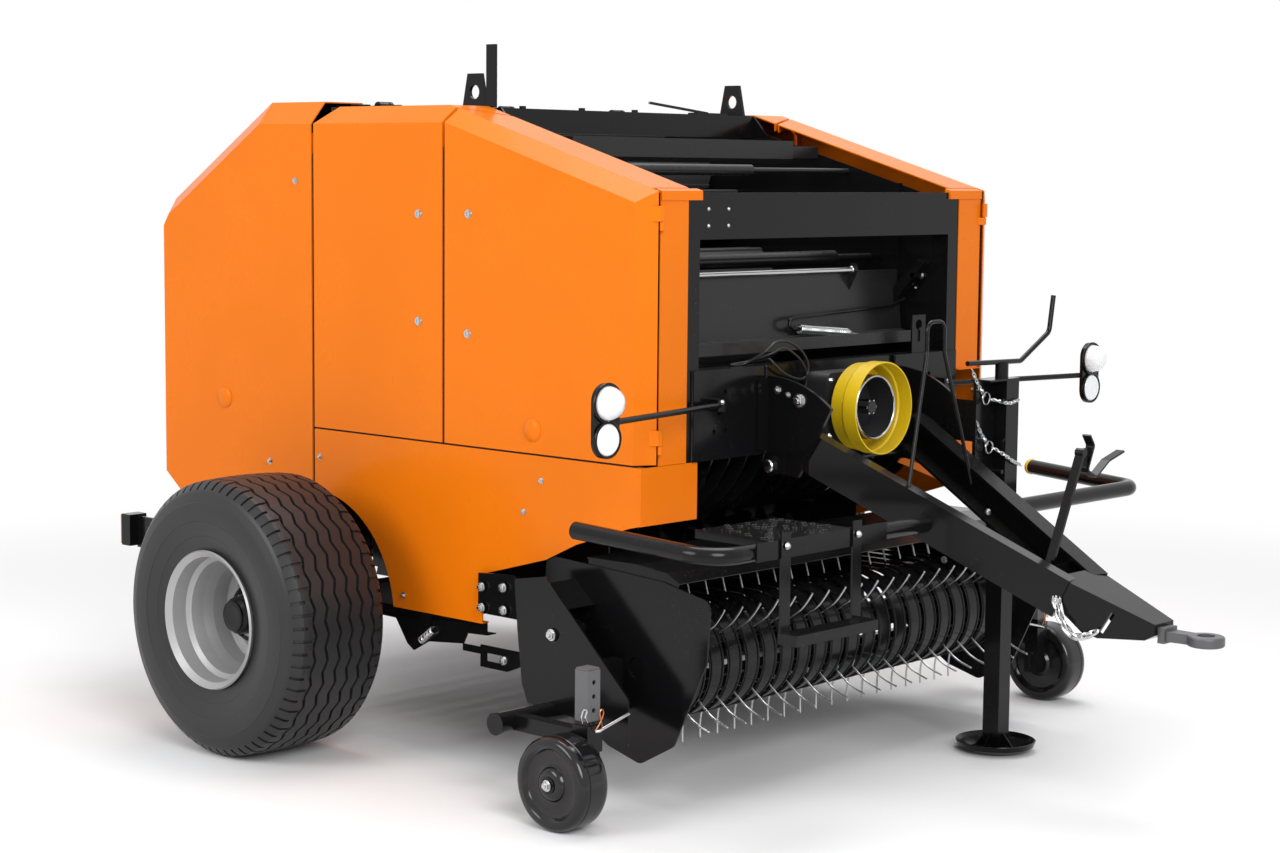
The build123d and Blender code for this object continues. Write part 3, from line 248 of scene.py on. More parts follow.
class Stock:
    """Metal or plastic stock, shaped and joined bit by bit into one piece."""

    def __init__(self):
        self.points, self.faces = [], []

    def add(self, points, faces):
        """Joins loose points and faces to the piece."""
        first = len(self.points)
        self.points += [Vector(p) for p in points]
        self.faces += [[first + i for i in face] for face in faces]

    def turned(self, profile, base, aim, sides=28):
        """A shape turned about a line from base towards aim, from (along, radius) in metres.
        Its ends close."""
        aim = Vector(aim).normalized()
        across = aim.orthogonal().normalized()
        other = aim.cross(across)
        points, faces, rows = [], [], []
        for along, radius in profile:
            if radius < 1e-6:
                rows.append([len(points)])
                points.append(base + aim * along)
                continue
            rows.append(list(range(len(points), len(points) + sides)))
            for k in range(sides):
                a = math.tau * k / sides
                points.append(base + aim * along + (across * math.cos(a) + other * math.sin(a)) * radius)
        for low, high in zip(rows, rows[1:]):
            for k in range(sides):
                m = (k + 1) % sides
                if len(low) == 1 and len(high) > 1:
                    faces.append([low[0], high[m], high[k]])
                elif len(high) == 1 and len(low) > 1:
                    faces.append([low[k], low[m], high[0]])
                elif len(low) > 1:
                    faces.append([low[k], low[m], high[m], high[k]])
        for row, order in ((rows[0], -1), (rows[-1], 1)):
            if len(row) > 1:
                faces.append(row[::order])
        self.add(points, faces)

    def run(self, way, radius, sides=10, loop=False):
        """Round bar or wire along points, closed on itself or at its ends."""
        way = [Vector(p) for p in way]
        n = len(way)
        up = None
        points, faces = [], []
        for i in range(n):
            if loop:
                back, fore = way[i - 1], way[(i + 1) % n]
            else:
                back, fore = way[max(i - 1, 0)], way[min(i + 1, n - 1)]
            ahead = (fore - back).normalized()
            up = ahead.orthogonal() if up is None else up - ahead * up.dot(ahead)
            up.normalize()
            side = ahead.cross(up)
            for k in range(sides):
                a = math.tau * k / sides
                points.append(way[i] + (up * math.cos(a) + side * math.sin(a)) * radius)
        for i in range(n if loop else n - 1):
            j = (i + 1) % n
            shift = 0
            if loop and j == 0:
                gaps = [(points[k] - points[i * sides]).length for k in range(sides)]
                shift = gaps.index(min(gaps))
            for k in range(sides):
                m = (k + 1) % sides
                faces.append([i * sides + k, i * sides + m,
                              j * sides + (m + shift) % sides, j * sides + (k + shift) % sides])
        if not loop:
            faces.append(list(range(sides))[::-1])
            faces.append([(n - 1) * sides + k for k in range(sides)])
        self.add(points, faces)

    def prism(self, corners, depth):
        """A flat plate from its corners in order, given thickness along depth."""
        corners = [Vector(c) for c in corners]
        n = len(corners)
        depth = Vector(depth)
        self.add(corners + [c + depth for c in corners],
                 [list(range(n))[::-1], [n + i for i in range(n)]]
                 + [[i, (i + 1) % n, n + (i + 1) % n, n + i] for i in range(n)])

    def mesh(self, name, material, fillet=0.0):
        """The finished mesh, with its faces turned outwards and its sharp edges broken by a fillet."""
        mesh = bpy.data.meshes.new(name)
        mesh.from_pydata(self.points, [], self.faces)
        work = bmesh.new()
        work.from_mesh(mesh)
        if fillet:
            sharp = [e for e in work.edges if e.calc_face_angle(0) > math.radians(35)]
            bmesh.ops.bevel(work, geom=sharp, offset=fillet, segments=2, affect="EDGES", clamp_overlap=True)
        bmesh.ops.recalc_face_normals(work, faces=work.faces)
        work.to_mesh(mesh)
        work.free()
        mesh.materials.append(material)
        return mesh


def tree_of(name, **inputs):
    """A Geometry Nodes tree with named inputs. Returns it with a wire for each input."""
    tree = bpy.data.node_groups.new(name, "GeometryNodeTree")
    tree.interface.new_socket("Geometry", in_out="INPUT", socket_type="NodeSocketGeometry")
    for label, value in inputs.items():
        made = tree.interface.new_socket(label, in_out="INPUT", socket_type="NodeSocketFloat")
        made.default_value = value
    tree.interface.new_socket("Finish", in_out="INPUT", socket_type="NodeSocketMaterial")
    tree.interface.new_socket("Geometry", in_out="OUTPUT", socket_type="NodeSocketGeometry")
    wire = Wire(tree)
    source = wire.put("NodeGroupInput")
    taps = {item.name: source.other(item.name)
            for item in tree.interface.items_tree if item.in_out == "INPUT"}
    return wire, taps


def end_tree(wire, shape, taps):
    """Realizes the instances, gives them their finish and ends the tree."""
    whole = wire.put("GeometryNodeRealizeInstances", {0: shape})
    whole = wire.put("GeometryNodeSetMaterial", {"Geometry": whole, "Material": taps["Finish"]})
    wire.put("NodeGroupOutput", {0: whole})
    return wire.tree


def grow(name, tree, carrier, body, finish, **sizes):
    """Runs a tree on a carrier and keeps what it makes as a plain mesh on a body."""
    thing = bpy.data.objects.new(name, carrier)
    scene.collection.objects.link(thing)
    modifier = thing.modifiers.new("grown", "NODES")
    modifier.node_group = tree
    sizes["Finish"] = finish
    for item in tree.interface.items_tree:
        if item.in_out == "INPUT" and item.name in sizes:
            modifier[item.identifier] = sizes[item.name]
    graph = bpy.context.evaluated_depsgraph_get()
    mesh = bpy.data.meshes.new_from_object(thing.evaluated_get(graph), depsgraph=graph)
    thing.modifiers.clear()
    bpy.data.objects.remove(thing)
    mesh.name = name
    return keep(name, mesh, body)


def spots(name, places, aims, sizes):
    """Loose points that carry the way a fastener faces and its size."""
    mesh = bpy.data.meshes.new(name)
    mesh.from_pydata([Vector(p) for p in places], [], [])
    aim = mesh.attributes.new("aim", "FLOAT_VECTOR", "POINT")
    aim.data.foreach_set("vector", [c for a in aims for c in Vector(a).normalized()])
    size = mesh.attributes.new("size", "FLOAT", "POINT")
    size.data.foreach_set("value", list(sizes))
    return mesh


def on_points(wire, taps, shape):
    """Sets a shape on each carrier point, turned to its aim and scaled to its size."""
    aim = wire.put("GeometryNodeInputNamedAttribute", {"Name": "aim"}, data_type="FLOAT_VECTOR")
    size = wire.put("GeometryNodeInputNamedAttribute", {"Name": "size"}, data_type="FLOAT")
    facing = wire.put("FunctionNodeAlignRotationToVector", {"Vector": aim}, axis="Z")
    return wire.put("GeometryNodeInstanceOnPoints", {"Points": taps["Geometry"], "Instance": shape,
                                                     "Rotation": facing, "Scale": size})


def stack(wire, *layers):
    """Cones or prisms stacked along Z: (sides, low, high, bottom radius, top radius)."""
    parts = []
    for sides, low, high, wide, narrow in layers:
        part = wire.put("GeometryNodeMeshCone", {"Vertices": sides, "Radius Top": narrow, "Radius Bottom": wide,
                                                 "Depth": high - low})
        parts.append(wire.put("GeometryNodeTransform", {"Geometry": part, "Translation": (0, 0, low)}))
    return wire.put("GeometryNodeJoinGeometry", {0: parts})


wire, taps = tree_of("hex_bolts")
hex_bolts = end_tree(wire, on_points(wire, taps, stack(
    wire, (28, 0, 0.16, 1.25, 1.25), (6, 0.16, 0.72, 1.0, 1.0), (6, 0.72, 0.84, 1.0, 0.84),
    (20, 0.84, 1.15, 0.5, 0.5), (20, 1.15, 1.22, 0.5, 0.42))), taps)
zinc = paint("bright_zinc", (0.56, 0.565, 0.57), 0.20, metal=1.0, peel=0.02, dusty=0.05)


def bolts(name, body, *rows, finish=zinc, tree=hex_bolts):
    """Fasteners from rows of (x, y, z, aim, half width), in millimetres."""
    grow(name, tree, spots(name, [at(*row[:3]) for row in rows], [row[3] for row in rows],
                           [row[4] / 1000 for row in rows]), body, finish)


LEFT, RIGHT, FORE = (1, 0, 0), (-1, 0, 0), (0, -1, 0)

# Weld beads: small overlapping ripples laid along each joint and painted over with the
# frame. Plated bolts hold the bearing plates inside, and four rivets sit in the crossbeam.
wire, taps = tree_of("weld_ripples", Pitch=0.0042, Width=0.0062)
row = wire.put("GeometryNodeCurveToPoints", {"Curve": taps["Geometry"], "Length": taps["Pitch"]}, mode="LENGTH")
ripple = wire.put("GeometryNodeMeshUVSphere", {"Segments": 10, "Rings": 6, "Radius": taps["Width"]})
ripple = wire.put("GeometryNodeTransform", {"Geometry": ripple, "Scale": (1.0, 1.0, 0.55)})
laid = wire.put("GeometryNodeInstanceOnPoints", {"Points": row, "Instance": ripple,
                                                 "Rotation": row.other("Rotation")})
weld_ripples = end_tree(wire, laid, taps)


def curve_of(name, *runs):
    """A carrier of straight runs through places in millimetres."""
    curve = bpy.data.curves.new(name, "CURVE")
    curve.dimensions = "3D"
    for run in runs:
        line = curve.splines.new("POLY")
        line.points.add(len(run) - 1)
        for point, place in zip(line.points, run):
            point.co = (*at(*place), 1)
    return curve


beads = [[(s * x, y, low), (s * x, y, high)] for s in (-1, 1) for x, y, low, high in (
    (320, -1331, 990, 1250), (645, -1324, 990, 1250), (304, -1331.5, 935, 1218))]
grow("frame_welds", weld_ripples, curve_of("frame_welds", *beads), "chassis", black)
bolts("beam_rivets", "chassis", *[(x, -1317.5, z, FORE, 4.2) for x in (-574, -485) for z in (1724, 1675)])
bolts("frame_bolts", "chassis",
      *[(s * x, y, z, (-s, 0, 0), w) for s in (-1, 1) for x, y, z, w in (
          (606, -1215, 1498, 9), (606, -1033, 1416, 9), (606, -1230, 1540, 5), (606, -1195, 1455, 5))],
      *[(s * 690, -1320, 1754, FORE, 5) for s in (-1, 1)])

# Chamber rollers and binding unit: rolled tubes with driving ribs, in grey paint that the
# bale rubs thin. In front of them a zinc guide tube, two tension arms with their spring and
# chain, and grey rollers hang between the walls.
roller_grey = paint("roller_grey", (0.07, 0.07, 0.073), 0.34, gloss=0.4, scuff=0.5, dusty=0.15)
dress(roller_grey, "front_rollers", "tailgate_rollers")
dress(paint("binder_grey", (0.012, 0.012, 0.013), 0.26, gloss=0.3, scuff=0.3, dusty=0.15), "binder")
ARM_PINS = ((-1215, 1498), (-1133, 1416))
unit = Stock()
unit.run([at(-589, -1150, 1520), at(333, -1150, 1520)], 0.0088, sides=20)
unit.turned([(0, 0.012), (0.014, 0.012), (0.016, 0.010)], at(330, -1150, 1520), RIGHT)
for y, z in ARM_PINS:
    unit.turned([(0, 0.017), (0.004, 0.017), (0.004, 0.013), (0.013, 0.013)], at(604, y, z), RIGHT)
keep("guide_tube", unit.mesh("guide_tube", zinc), "chassis")
arms = Stock()
for x in (586, 560):
    arms.prism([at(x, y, z) for y, z in ((-1262, 1540), (-1238, 1552), (-1150, 1470), (-1108, 1402),
                                         (-1128, 1386), (-1178, 1446))], (0.006, 0, 0))
for y, z in reversed(ARM_PINS):
    arms.turned([(0, 0.010), (0.034, 0.010)], at(594, y, z), RIGHT)
keep("tension_arms", arms.mesh("tension_arms", black, fillet=0.0012), "chassis")

wire, taps = tree_of("coil_spring", Radius=0.009, Length=0.2, Turns=30.0, Wire=0.0016)
helix = wire.put("GeometryNodeCurveSpiral", {
    "Resolution": 14, "Rotations": taps["Turns"], "Start Radius": taps["Radius"],
    "End Radius": taps["Radius"], "Height": taps["Length"]})
round_wire = wire.put("GeometryNodeCurvePrimitiveCircle", {"Resolution": 7, "Radius": taps["Wire"]})
coil = wire.put("GeometryNodeCurveToMesh", {0: helix, 1: round_wire, "Fill Caps": True})
coil_spring = end_tree(wire, on_points(wire, taps, coil), taps)

wire, taps = tree_of("chain_links", Pitch=0.016, Wire=0.0022)
beat = wire.put("GeometryNodeCurveToPoints", {"Curve": taps["Geometry"], "Length": taps["Pitch"]}, mode="LENGTH")
hoop = wire.put("GeometryNodeCurvePrimitiveCircle", {"Resolution": 16, "Radius": taps["Pitch"]})
hoop = wire.put("GeometryNodeTransform", {"Geometry": hoop, "Rotation": (math.pi / 2, 0, 0),
                                          "Scale": (0.42, 1.0, 0.72)})
round_wire = wire.put("GeometryNodeCurvePrimitiveCircle", {"Resolution": 7, "Radius": taps["Wire"]})
link = wire.put("GeometryNodeCurveToMesh", {0: hoop, 1: round_wire})
odd = wire.put("GeometryNodeInputIndex").math("MODULO", wire.put("GeometryNodeInputIndex"), 2.0)
roll_by = wire.put("FunctionNodeEulerToRotation", {0: wire.put("ShaderNodeCombineXYZ", {2: odd * (math.pi / 2)})})
quarter = wire.put("FunctionNodeRotateRotation", {0: beat.other("Rotation"), 1: roll_by}, rotation_space="LOCAL")
chain_links = end_tree(wire, wire.put("GeometryNodeInstanceOnPoints", {
    "Points": beat, "Instance": link, "Rotation": quarter}), taps)


def spring(name, body, start, end, radius, gauge, finish=zinc):
    """A coil spring between two places in millimetres, of a radius and a gauge of wire in metres."""
    a, b = at(*start), at(*end)
    long = (b - a).length
    grow(name, coil_spring, spots(name, [a], [b - a], [1]), body, finish, Radius=radius, Length=long,
         Turns=long / (gauge * 2.3), Wire=gauge)


spring("twine_spring", "chassis", (24, -1176, 1340), (268, -1176, 1318), 0.014, 0.0024)
hang = [(268, -1176, 1318), (326, -1176, 1305), (444, -1184, 1284)]
grow("twine_chain", chain_links, curve_of("twine_chain", hang), "chassis", zinc, Pitch=0.017, Wire=0.0024)
bend = Stock()
bend.run([at(*place) for place in (
    (590, -1150, 1412), (500, -1172, 1398), (0, -1178, 1378), (-26, -1178, 1370), (-28, -1178, 1352),
    (-8, -1178, 1342), (26, -1176, 1340))], 0.006, sides=12)
keep("tension_bar", bend.mesh("tension_bar", black), "chassis")

# Covers: folded steel sheet sprayed bright orange, bolted through to the chamber walls, with
# pressed domes where the latches sit behind. The rear edge of each door is folded down.
orange = paint("orange_paint", (0.735, 0.163, 0.0025), 0.28, coat=0.06, dusty=0.08, dust=(0.58, 0.17, 0.03),
               gloss=0.12)
dress(orange, "middle_covers", "door_left", "door_right", "front_strips", "skirts", "tailgate_covers")
wire, taps = tree_of("socket_bolts")
rim_way = wire.put("GeometryNodeCurvePrimitiveCircle", {"Resolution": 24, "Radius": 0.76})
rim_cut = wire.put("GeometryNodeCurvePrimitiveQuadrilateral", {"Width": 0.48, "Height": 0.42})
collar = wire.put("GeometryNodeTransform", {
    "Geometry": wire.put("GeometryNodeCurveToMesh", {0: rim_way, 1: rim_cut}), "Translation": (0, 0, 0.36)})
seat = stack(wire, (24, 0, 0.16, 1.3, 1.25), (6, 0.16, 0.34, 0.6, 0.6))
whole = wire.put("GeometryNodeJoinGeometry", {0: [collar, seat]})
socket_bolts = end_tree(wire, on_points(wire, taps, whole), taps)
SIDE = 860.2          # outer face of the covers
DOME = [(-0.002, 0.036), (0.002, 0.036), (0.007, 0.031), (0.0105, 0.021), (0.012, 0)]


def cover_rows(places, half, *sides):
    """Rows for bolts through the covers at (y, z) on each named side."""
    return [(s * SIDE, y, z, (s, 0, 0), half) for s in sides for y, z in places]


bolts("skirt_bolts", "chassis", *cover_rows([(111, 893), (-918, 911), (-842, 810), (-298, 487)], 8, -1, 1))
bolts("tailgate_bolts", "tailgate", *cover_rows([(231, 1790), (372, 856)], 9, -1, 1))
bolts("middle_bolts", "chassis", *cover_rows([(-370, 1694), (-370, 1361)], 11, -1, 1), tree=socket_bolts)
for s, door in ((-1, "door_r"), (1, "door_l")):
    bolts(door + "_bolts", door, *cover_rows([(-597, 1698), (-594, 1333)], 11, s), tree=socket_bolts)
    dome = Stock()
    dome.turned(DOME, at(s * SIDE, -879, 1061), (s, 0, 0), sides=40)
    keep(door + "_dome", dome.mesh(door + "_dome", orange), door)
domes = Stock()
for s in (-1, 1):
    domes.turned(DOME, at(s * SIDE, 614, 1054), (s, 0, 0), sides=40)
keep("tailgate_domes", domes.mesh("tailgate_domes", orange), "tailgate")
dress(black, "tailgate_frame")

# Seam shade: black strips set just inside the open seams between the covers and along
# the top of the skirts. They are painted shade for the gaps, not rubber seals.
# Near-black that stands in for the shade seen through the seams: painted shade.
shade_black = paint("seam_shade_black", (0.006, 0.006, 0.006), 0.6, gloss=0.15, peel=0.1)
shade_strips = Stock()
for s in (-1, 1):
    for front, rear, low, high in ((-489, -478, 992, 1900), (140, 151, 660, 1880), (-1300, 137, 984.5, 989.5)):
        shade_strips.prism([at(s * 851, y, z) for y, z in ((front, low), (rear, low), (rear, high), (front, high))],
                    (s * 0.004, 0, 0))
keep("seam_shade_strips", shade_strips.mesh("seam_shade_strips", shade_black), "chassis")

# Tailgate rams: barrels in the frame's black with ground and chromed rods, one on each side,
# pinned to the chassis below and to the tailgate above.
dress(black, "ram_barrel_left", "ram_barrel_right")
chrome = paint("ram_chrome", (0.78, 0.79, 0.80), 0.10, metal=1.0, peel=0.0, dusty=0.05)
dress(chrome, "ram_rod_left", "ram_rod_right")

# Drawbar: sloping channels welded to a folded nose, ear plates bolted and pinned to the
# crossbeam, and the forged hitch ring bolted to the nose with a chain beside it.
dress(black, "drawbar")
dress(paint("forged_grey", (0.10, 0.10, 0.105), 0.42, gloss=0.4, scuff=0.6, dusty=0.1, metal=0.4), "hitch_ring")
bolts("ear_bolts", "chassis", *[(s * 316.2, y, z, (s, 0, 0), w) for s in (-1, 1) for y, z, w in (
    (-1376, 1183, 11), (-1462, 1156, 18), (-1416, 1170, 8))])
pins = Stock()
for s in (-1, 1):
    pins.turned([(0, 0.021), (0.012, 0.021), (0.016, 0.018), (0.018, 0)], at(s * 330, -1361, 952), (s, 0, 0))
keep("ear_pins", pins.mesh("ear_pins", zinc), "chassis")
nose_rows = [(-106, -2245, 627, (-1, 0, 0), 13)]
for y, z in ((-1820, 812), (-1874, 705), (-2060, 690), (-2130, 655)):
    inner = 257 - (abs(y) - 1430) * 0.256          # the arms close towards the nose
    nose_rows += [(s * inner, y, z, (-s, 0, 0), 8) for s in (-1, 1)]
bolts("nose_bolts", "chassis", *nose_rows)
hang = [(-112, -2245, 622), (-122, -2262, 590), (-122, -2285, 556), (-116, -2304, 536), (-108, -2332, 532),
        (-102, -2362, 548)]
grow("hitch_chain", chain_links, curve_of("hitch_chain", hang), "chassis", zinc, Pitch=0.021, Wire=0.0042)
shackle = Stock()
shackle.run([at(*place) for place in ((-96, -2245, 640), (-112, -2246, 640), (-116, -2246, 627),
                                      (-112, -2246, 614), (-96, -2245, 614))], 0.004)
keep("chain_shackle", shackle.mesh("chain_shackle", zinc), "chassis")

# Parking jack: square tubes in black paint, one sliding in the other, held by two zinc ring
# pins that hang on short chains.
dress(black, "jack_tube", "jack_leg")


def ring(centre, radius, count):
    """Places round an upright circle that faces forward."""
    angles = [math.tau * k / count for k in range(count)]
    return [centre + Vector((radius * math.cos(a), 0, radius * math.sin(a))) for a in angles]


for name, x, z, fall in (("upper", 344, 1136, 10), ("lower", 366, 981, 62)):
    pin = Stock()
    pin.turned([(-0.024, 0.007), (0.014, 0.007), (0.018, 0.004)], at(x - 20, -1655, z + 26), FORE)
    pin.run(ring(at(x, -1672, z), 0.019, 24), 0.0026, sides=8, loop=True)
    keep("jack_pin_" + name, pin.mesh("jack_pin_" + name, zinc), "chassis")
    grow("jack_chain_" + name, chain_links, curve_of("jack_chain_" + name, [
        (x - 44, -1650, z + 84), (x - 30, -1660, z + 46), (x - 12, -1668, z + 16)],
        [(x + 18, -1676, z - 4), (x + 34, -1706, z - 8 - fall * 0.25), (x + 62, -1717, z - 12 - fall * 0.5),
         (x + 112, -1714, z - fall)]),
         "chassis", zinc, Pitch=0.010, Wire=0.0016)

# Guard tube, step and shaft guard: bent tube in black paint with a pressed pattern on the
# step's plate, which is held by two straps, and yellow plastic for the tube's far cap and the
# round guard that is bolted over the output shaft.
dress(black, "guard_tube")
yellow = paint("guard_yellow", (0.74, 0.50, 0.010), 0.34, gloss=0.4, peel=0.04, dusty=0.1)
dress(yellow, "guard_cap", "shaft_guard")
wire, taps = tree_of("tread_lozenges", Step=0.021, Size=0.0105)
row_plan = wire.put("GeometryNodeDistributePointsOnFaces", {
    "Mesh": taps["Geometry"], "Density Max": 1500.0, "Distance Min": taps["Step"], "Seed": 4},
    distribute_method="POISSON")
grain = wire.put("GeometryNodeMeshUVSphere", {"Segments": 8, "Rings": 5, "Radius": taps["Size"]})
grain = wire.put("GeometryNodeTransform", {"Geometry": grain, "Scale": (1.0, 0.36, 0.34)})
which = wire.put("GeometryNodeInputIndex").math("MODULO", wire.put("GeometryNodeInputIndex"), 2.0)
heading = wire.put("ShaderNodeCombineXYZ", {2: which * (math.pi / 2) + 0.78})
heading = wire.put("FunctionNodeEulerToRotation", {0: heading})
tread_lozenges = end_tree(wire, wire.put("GeometryNodeInstanceOnPoints", {
    "Points": row_plan, "Instance": grain, "Rotation": heading}), taps)
plate = bpy.data.meshes.new("step_plate")
plate.from_pydata([at(x, y, 845.2) for x, y in ((-925, -1866), (-595, -1866), (-595, -1609), (-925, -1609))],
                  [], [(0, 1, 2, 3)])
grow("step_tread", tread_lozenges, plate, "chassis", black)
bolts("step_bolts", "chassis", *[(x, -1890.5, 828, FORE, 8) for x in (-885, -573)])

# Gearbox behind the shaft guard: cast grey iron bolted to the front frame, with a zinc band
# that holds the guard and a splined output shaft.
SHAFT_Z = 1118
cast = paint("cast_grey", (0.022, 0.022, 0.024), 0.42, gloss=0.3, peel=0.15, scuff=0.3, dusty=0.1)
dress(cast, "gearbox")
band = Stock()
band.run(ring(at(0, -1501, SHAFT_Z), 0.096, 60), 0.0045, sides=10, loop=True)
keep("gearbox_ring", band.mesh("gearbox_ring", zinc), "chassis")
bolts("gearbox_bolts", "chassis", *[(x, -1405.5, SHAFT_Z + z, FORE, 8) for x in (-100, 100) for z in (-88, 82)])
spline = Stock()
for k in range(6):
    a = math.tau * k / 6
    out, side = Vector((math.cos(a), 0, math.sin(a))), Vector((-math.sin(a), 0, math.cos(a))) * 0.0035
    foot = at(0, -1408, SHAFT_Z) + out * 0.0195
    spline.prism([foot - side, foot + side, foot + side + out * 0.004, foot - side + out * 0.004], (0, -0.08, 0))
keep("shaft_spline", spline.mesh("shaft_spline", zinc), "chassis")
dress(black, "shaft_rests")

# Lamps: at the front clear domes in black bezels over flat white reflectors, bolted to black
# holders, and at the rear red ribbed lenses on the ends of two bars.
LAMP_X, DOME_Z, REFLECTOR_Z, REAR_X = 1195, 1208, 1108, 848
dress(black, "lamp_arms", "lamp_bars")
clear = paint("lamp_clear", (0.80, 0.81, 0.82), 0.12, coat=0.8, peel=0.0, gloss=0.6)
red = paint("lamp_red", (0.50, 0.012, 0.010), 0.14, coat=0.8, peel=0.0, gloss=0.6)
domes = Stock()
for s in (-1, 1):
    domes.turned([(0, 0.047), (0.006, 0.0475), (0.020, 0.044), (0.034, 0.037), (0.045, 0.026), (0.051, 0.013),
                  (0.053, 0)], at(s * LAMP_X, -1508.3, DOME_Z), FORE, sides=48)
    domes.turned([(0, 0.044), (0.004, 0.044), (0.007, 0.041), (0.008, 0)],
                 at(s * LAMP_X, -1508.3, REFLECTOR_Z), FORE, sides=48)
keep("lamp_domes", domes.mesh("lamp_domes", clear), "chassis", "marker_lamps")
dress(red, "rear_lamps")
bezels = Stock()
for s in (-1, 1):
    for z, radius in ((DOME_Z, 0.052), (REFLECTOR_Z, 0.048)):
        bezels.run(ring(at(s * LAMP_X, -1512, z), radius, 48), 0.0042, sides=8, loop=True)
keep("lamp_bezels", bezels.mesh("lamp_bezels", black), "chassis")
bolts("lamp_bolts", "chassis", *[(s * x, y, z, FORE, half) for s in (-1, 1) for x, y, z, half in (
    (LAMP_X, -1509, 1158, 5), (561, -1368, 1160, 6))])
ribs = Stock()
for s in (-1, 1):
    for z in range(506, 596, 10):
        ribs.prism([at(s * REAR_X + x, 1206, z + dz) for x, dz in ((-29, -3), (29, -3), (29, 3), (-29, 3))],
                   (0, 0.0012, 0))
keep("lamp_ribs", ribs.mesh("lamp_ribs", red), "chassis")

# Control cable: two runs of black plastic sleeve that come out of the binding unit, loop in
# front of the gearbox and go back in.
sleeve = paint("cable_plastic", (0.012, 0.012, 0.013), 0.32, gloss=0.35)


def smooth(way, steps=8):
    """Points along a smooth line through given places in millimetres."""
    ends = [way[0]] + list(way) + [way[-1]]
    line = []
    for a, b, c, d in zip(ends, ends[1:], ends[2:], ends[3:]):
        a, b, c, d = at(*a), at(*b), at(*c), at(*d)
        for k in range(steps):
            t = k / steps
            line.append(0.5 * (2 * b + (c - a) * t + (2 * a - 5 * b + 4 * c - d) * t * t
                               + (3 * b - a - 3 * c + d) * t ** 3))
    return line + [at(*way[-1])]


loop = Stock()
loop.run(smooth([
    (-430, -1282, 1257.5), (-374, -1290, 1258), (-330, -1342, 1300), (-290, -1343, 1322), (-235, -1344, 1322),
    (-172, -1344, 1293), (-138, -1344, 1252), (-140, -1344, 1215), (-175, -1344, 1204), (-240, -1344, 1222),
    (-288, -1344, 1250), (-302, -1330, 1270), (-298, -1296, 1262), (-298, -1264, 1257.5)]), 0.0042, sides=12)
loop.run(smooth([
    (-420, -1276, 1257.5), (-360, -1296, 1266), (-318, -1350, 1290), (-262, -1352, 1304), (-190, -1352, 1270),
    (-152, -1350, 1226), (-150, -1346, 1180), (-176, -1338, 1120)]), 0.0034, sides=12)
keep("control_cable", loop.mesh("control_cable", sleeve), "chassis", "cable")

# Road tyres: black rubber moulded with five zigzag ribs between grooves, sipes and notches in
# the shoulders and faint rings in the sidewall, seated on the rims.
WHEEL_X, WHEEL_Z = 1216, 437
rubber = paint("tyre_rubber", (0.017, 0.017, 0.018), 0.40, gloss=0.34, peel=0.06, dusty=0.03)
PITCHES, BEATS = 34, (0, .12, .128, .235, .243, .37, .5, .62, .628, .735, .743, .87)
SIPE_BEATS, NOTCH_BEATS = (2, 3), (8, 9)
TREAD_R, RIM_BED, ZIGZAG = 0.437, 0.216, 0.0065
GROOVES = [0.046 * (k - 2.5) for k in range(6)]


def crown(x):
    """The tread's radius at a place across it."""
    return TREAD_R - 0.007 * (x / 0.148) ** 2


def tyre_rows():
    """Rows across the tyre: x, radius, share of the zigzag, and how deep sipes and notches cut there."""
    rows = []
    for groove in GROOVES:
        for dx, drop in ((-0.0052, 0), (-0.0040, 0.012), (0.0040, 0.012), (0.0052, 0)):
            rows.append((groove + dx, crown(groove) - drop, 1, 0, 0))
    right = [(0.1215, crown(0.1215), 0, 0.0065, 0), (0.1390, crown(0.139), 0, 0.0065, 0),
             (0.1396, crown(0.1396), 0, 0.0065, 0.009), (0.1520, 0.4283, 0, 0.0065, 0.009),
             (0.1660, 0.4172, 0, 0.0065, 0.009), (0.1760, 0.4062, 0, 0.006, 0.008), (0.1766, 0.4056, 0, 0, 0),
             (0.1830, 0.3960, 0, 0, 0), (0.1836, 0.3930, 0, 0, 0), (0.1872, 0.384, 0, 0, 0), (0.1915, 0.367, 0, 0, 0),
             (0.1931, 0.3655, 0, 0, 0), (0.1945, 0.348, 0, 0, 0), (0.195, 0.328, 0, 0, 0), (0.1942, 0.309, 0, 0, 0),
             (0.1926, 0.3075, 0, 0, 0), (0.190, 0.286, 0, 0, 0), (0.1855, 0.262, 0, 0, 0), (0.184, 0.2605, 0, 0, 0),
             (0.1775, 0.236, 0, 0, 0), (0.1755, RIM_BED, 0, 0, 0)]
    left = [(-x, *rest) for x, *rest in right[::-1]]
    return left + rows + right


def tyre(name, body, node, side):
    """One tyre as a closed ring of rows that repeats from pitch to pitch round the wheel."""
    rows = tyre_rows()
    centre = at(side * WHEEL_X, 0, WHEEL_Z)
    points, faces = [], []
    for k in range(PITCHES):
        for i, beat in enumerate(BEATS):
            a = math.tau * (k + beat) / PITCHES
            zig = ZIGZAG * (4 * abs(beat - 0.5) - 1)
            for x, radius, share, sipe, notch in rows:
                r = radius - (sipe if i in SIPE_BEATS else notch if i in NOTCH_BEATS else 0)
                points.append(centre + Vector((x + zig * share, r * math.cos(a), r * math.sin(a))))
    count, n = PITCHES * len(BEATS), len(rows)
    for c in range(count):
        d = (c + 1) % count
        for j in range(n):
            m = (j + 1) % n
            faces.append([c * n + j, c * n + m, d * n + m, d * n + j])
    shape = Stock()
    shape.add(points, faces)
    keep(name, shape.mesh(name, rubber), body, node, crease=24)


tyre("tyre_tread_left", "wheel_l", "tyre_left", 1)
tyre("tyre_tread_right", "wheel_r", "tyre_right", -1)

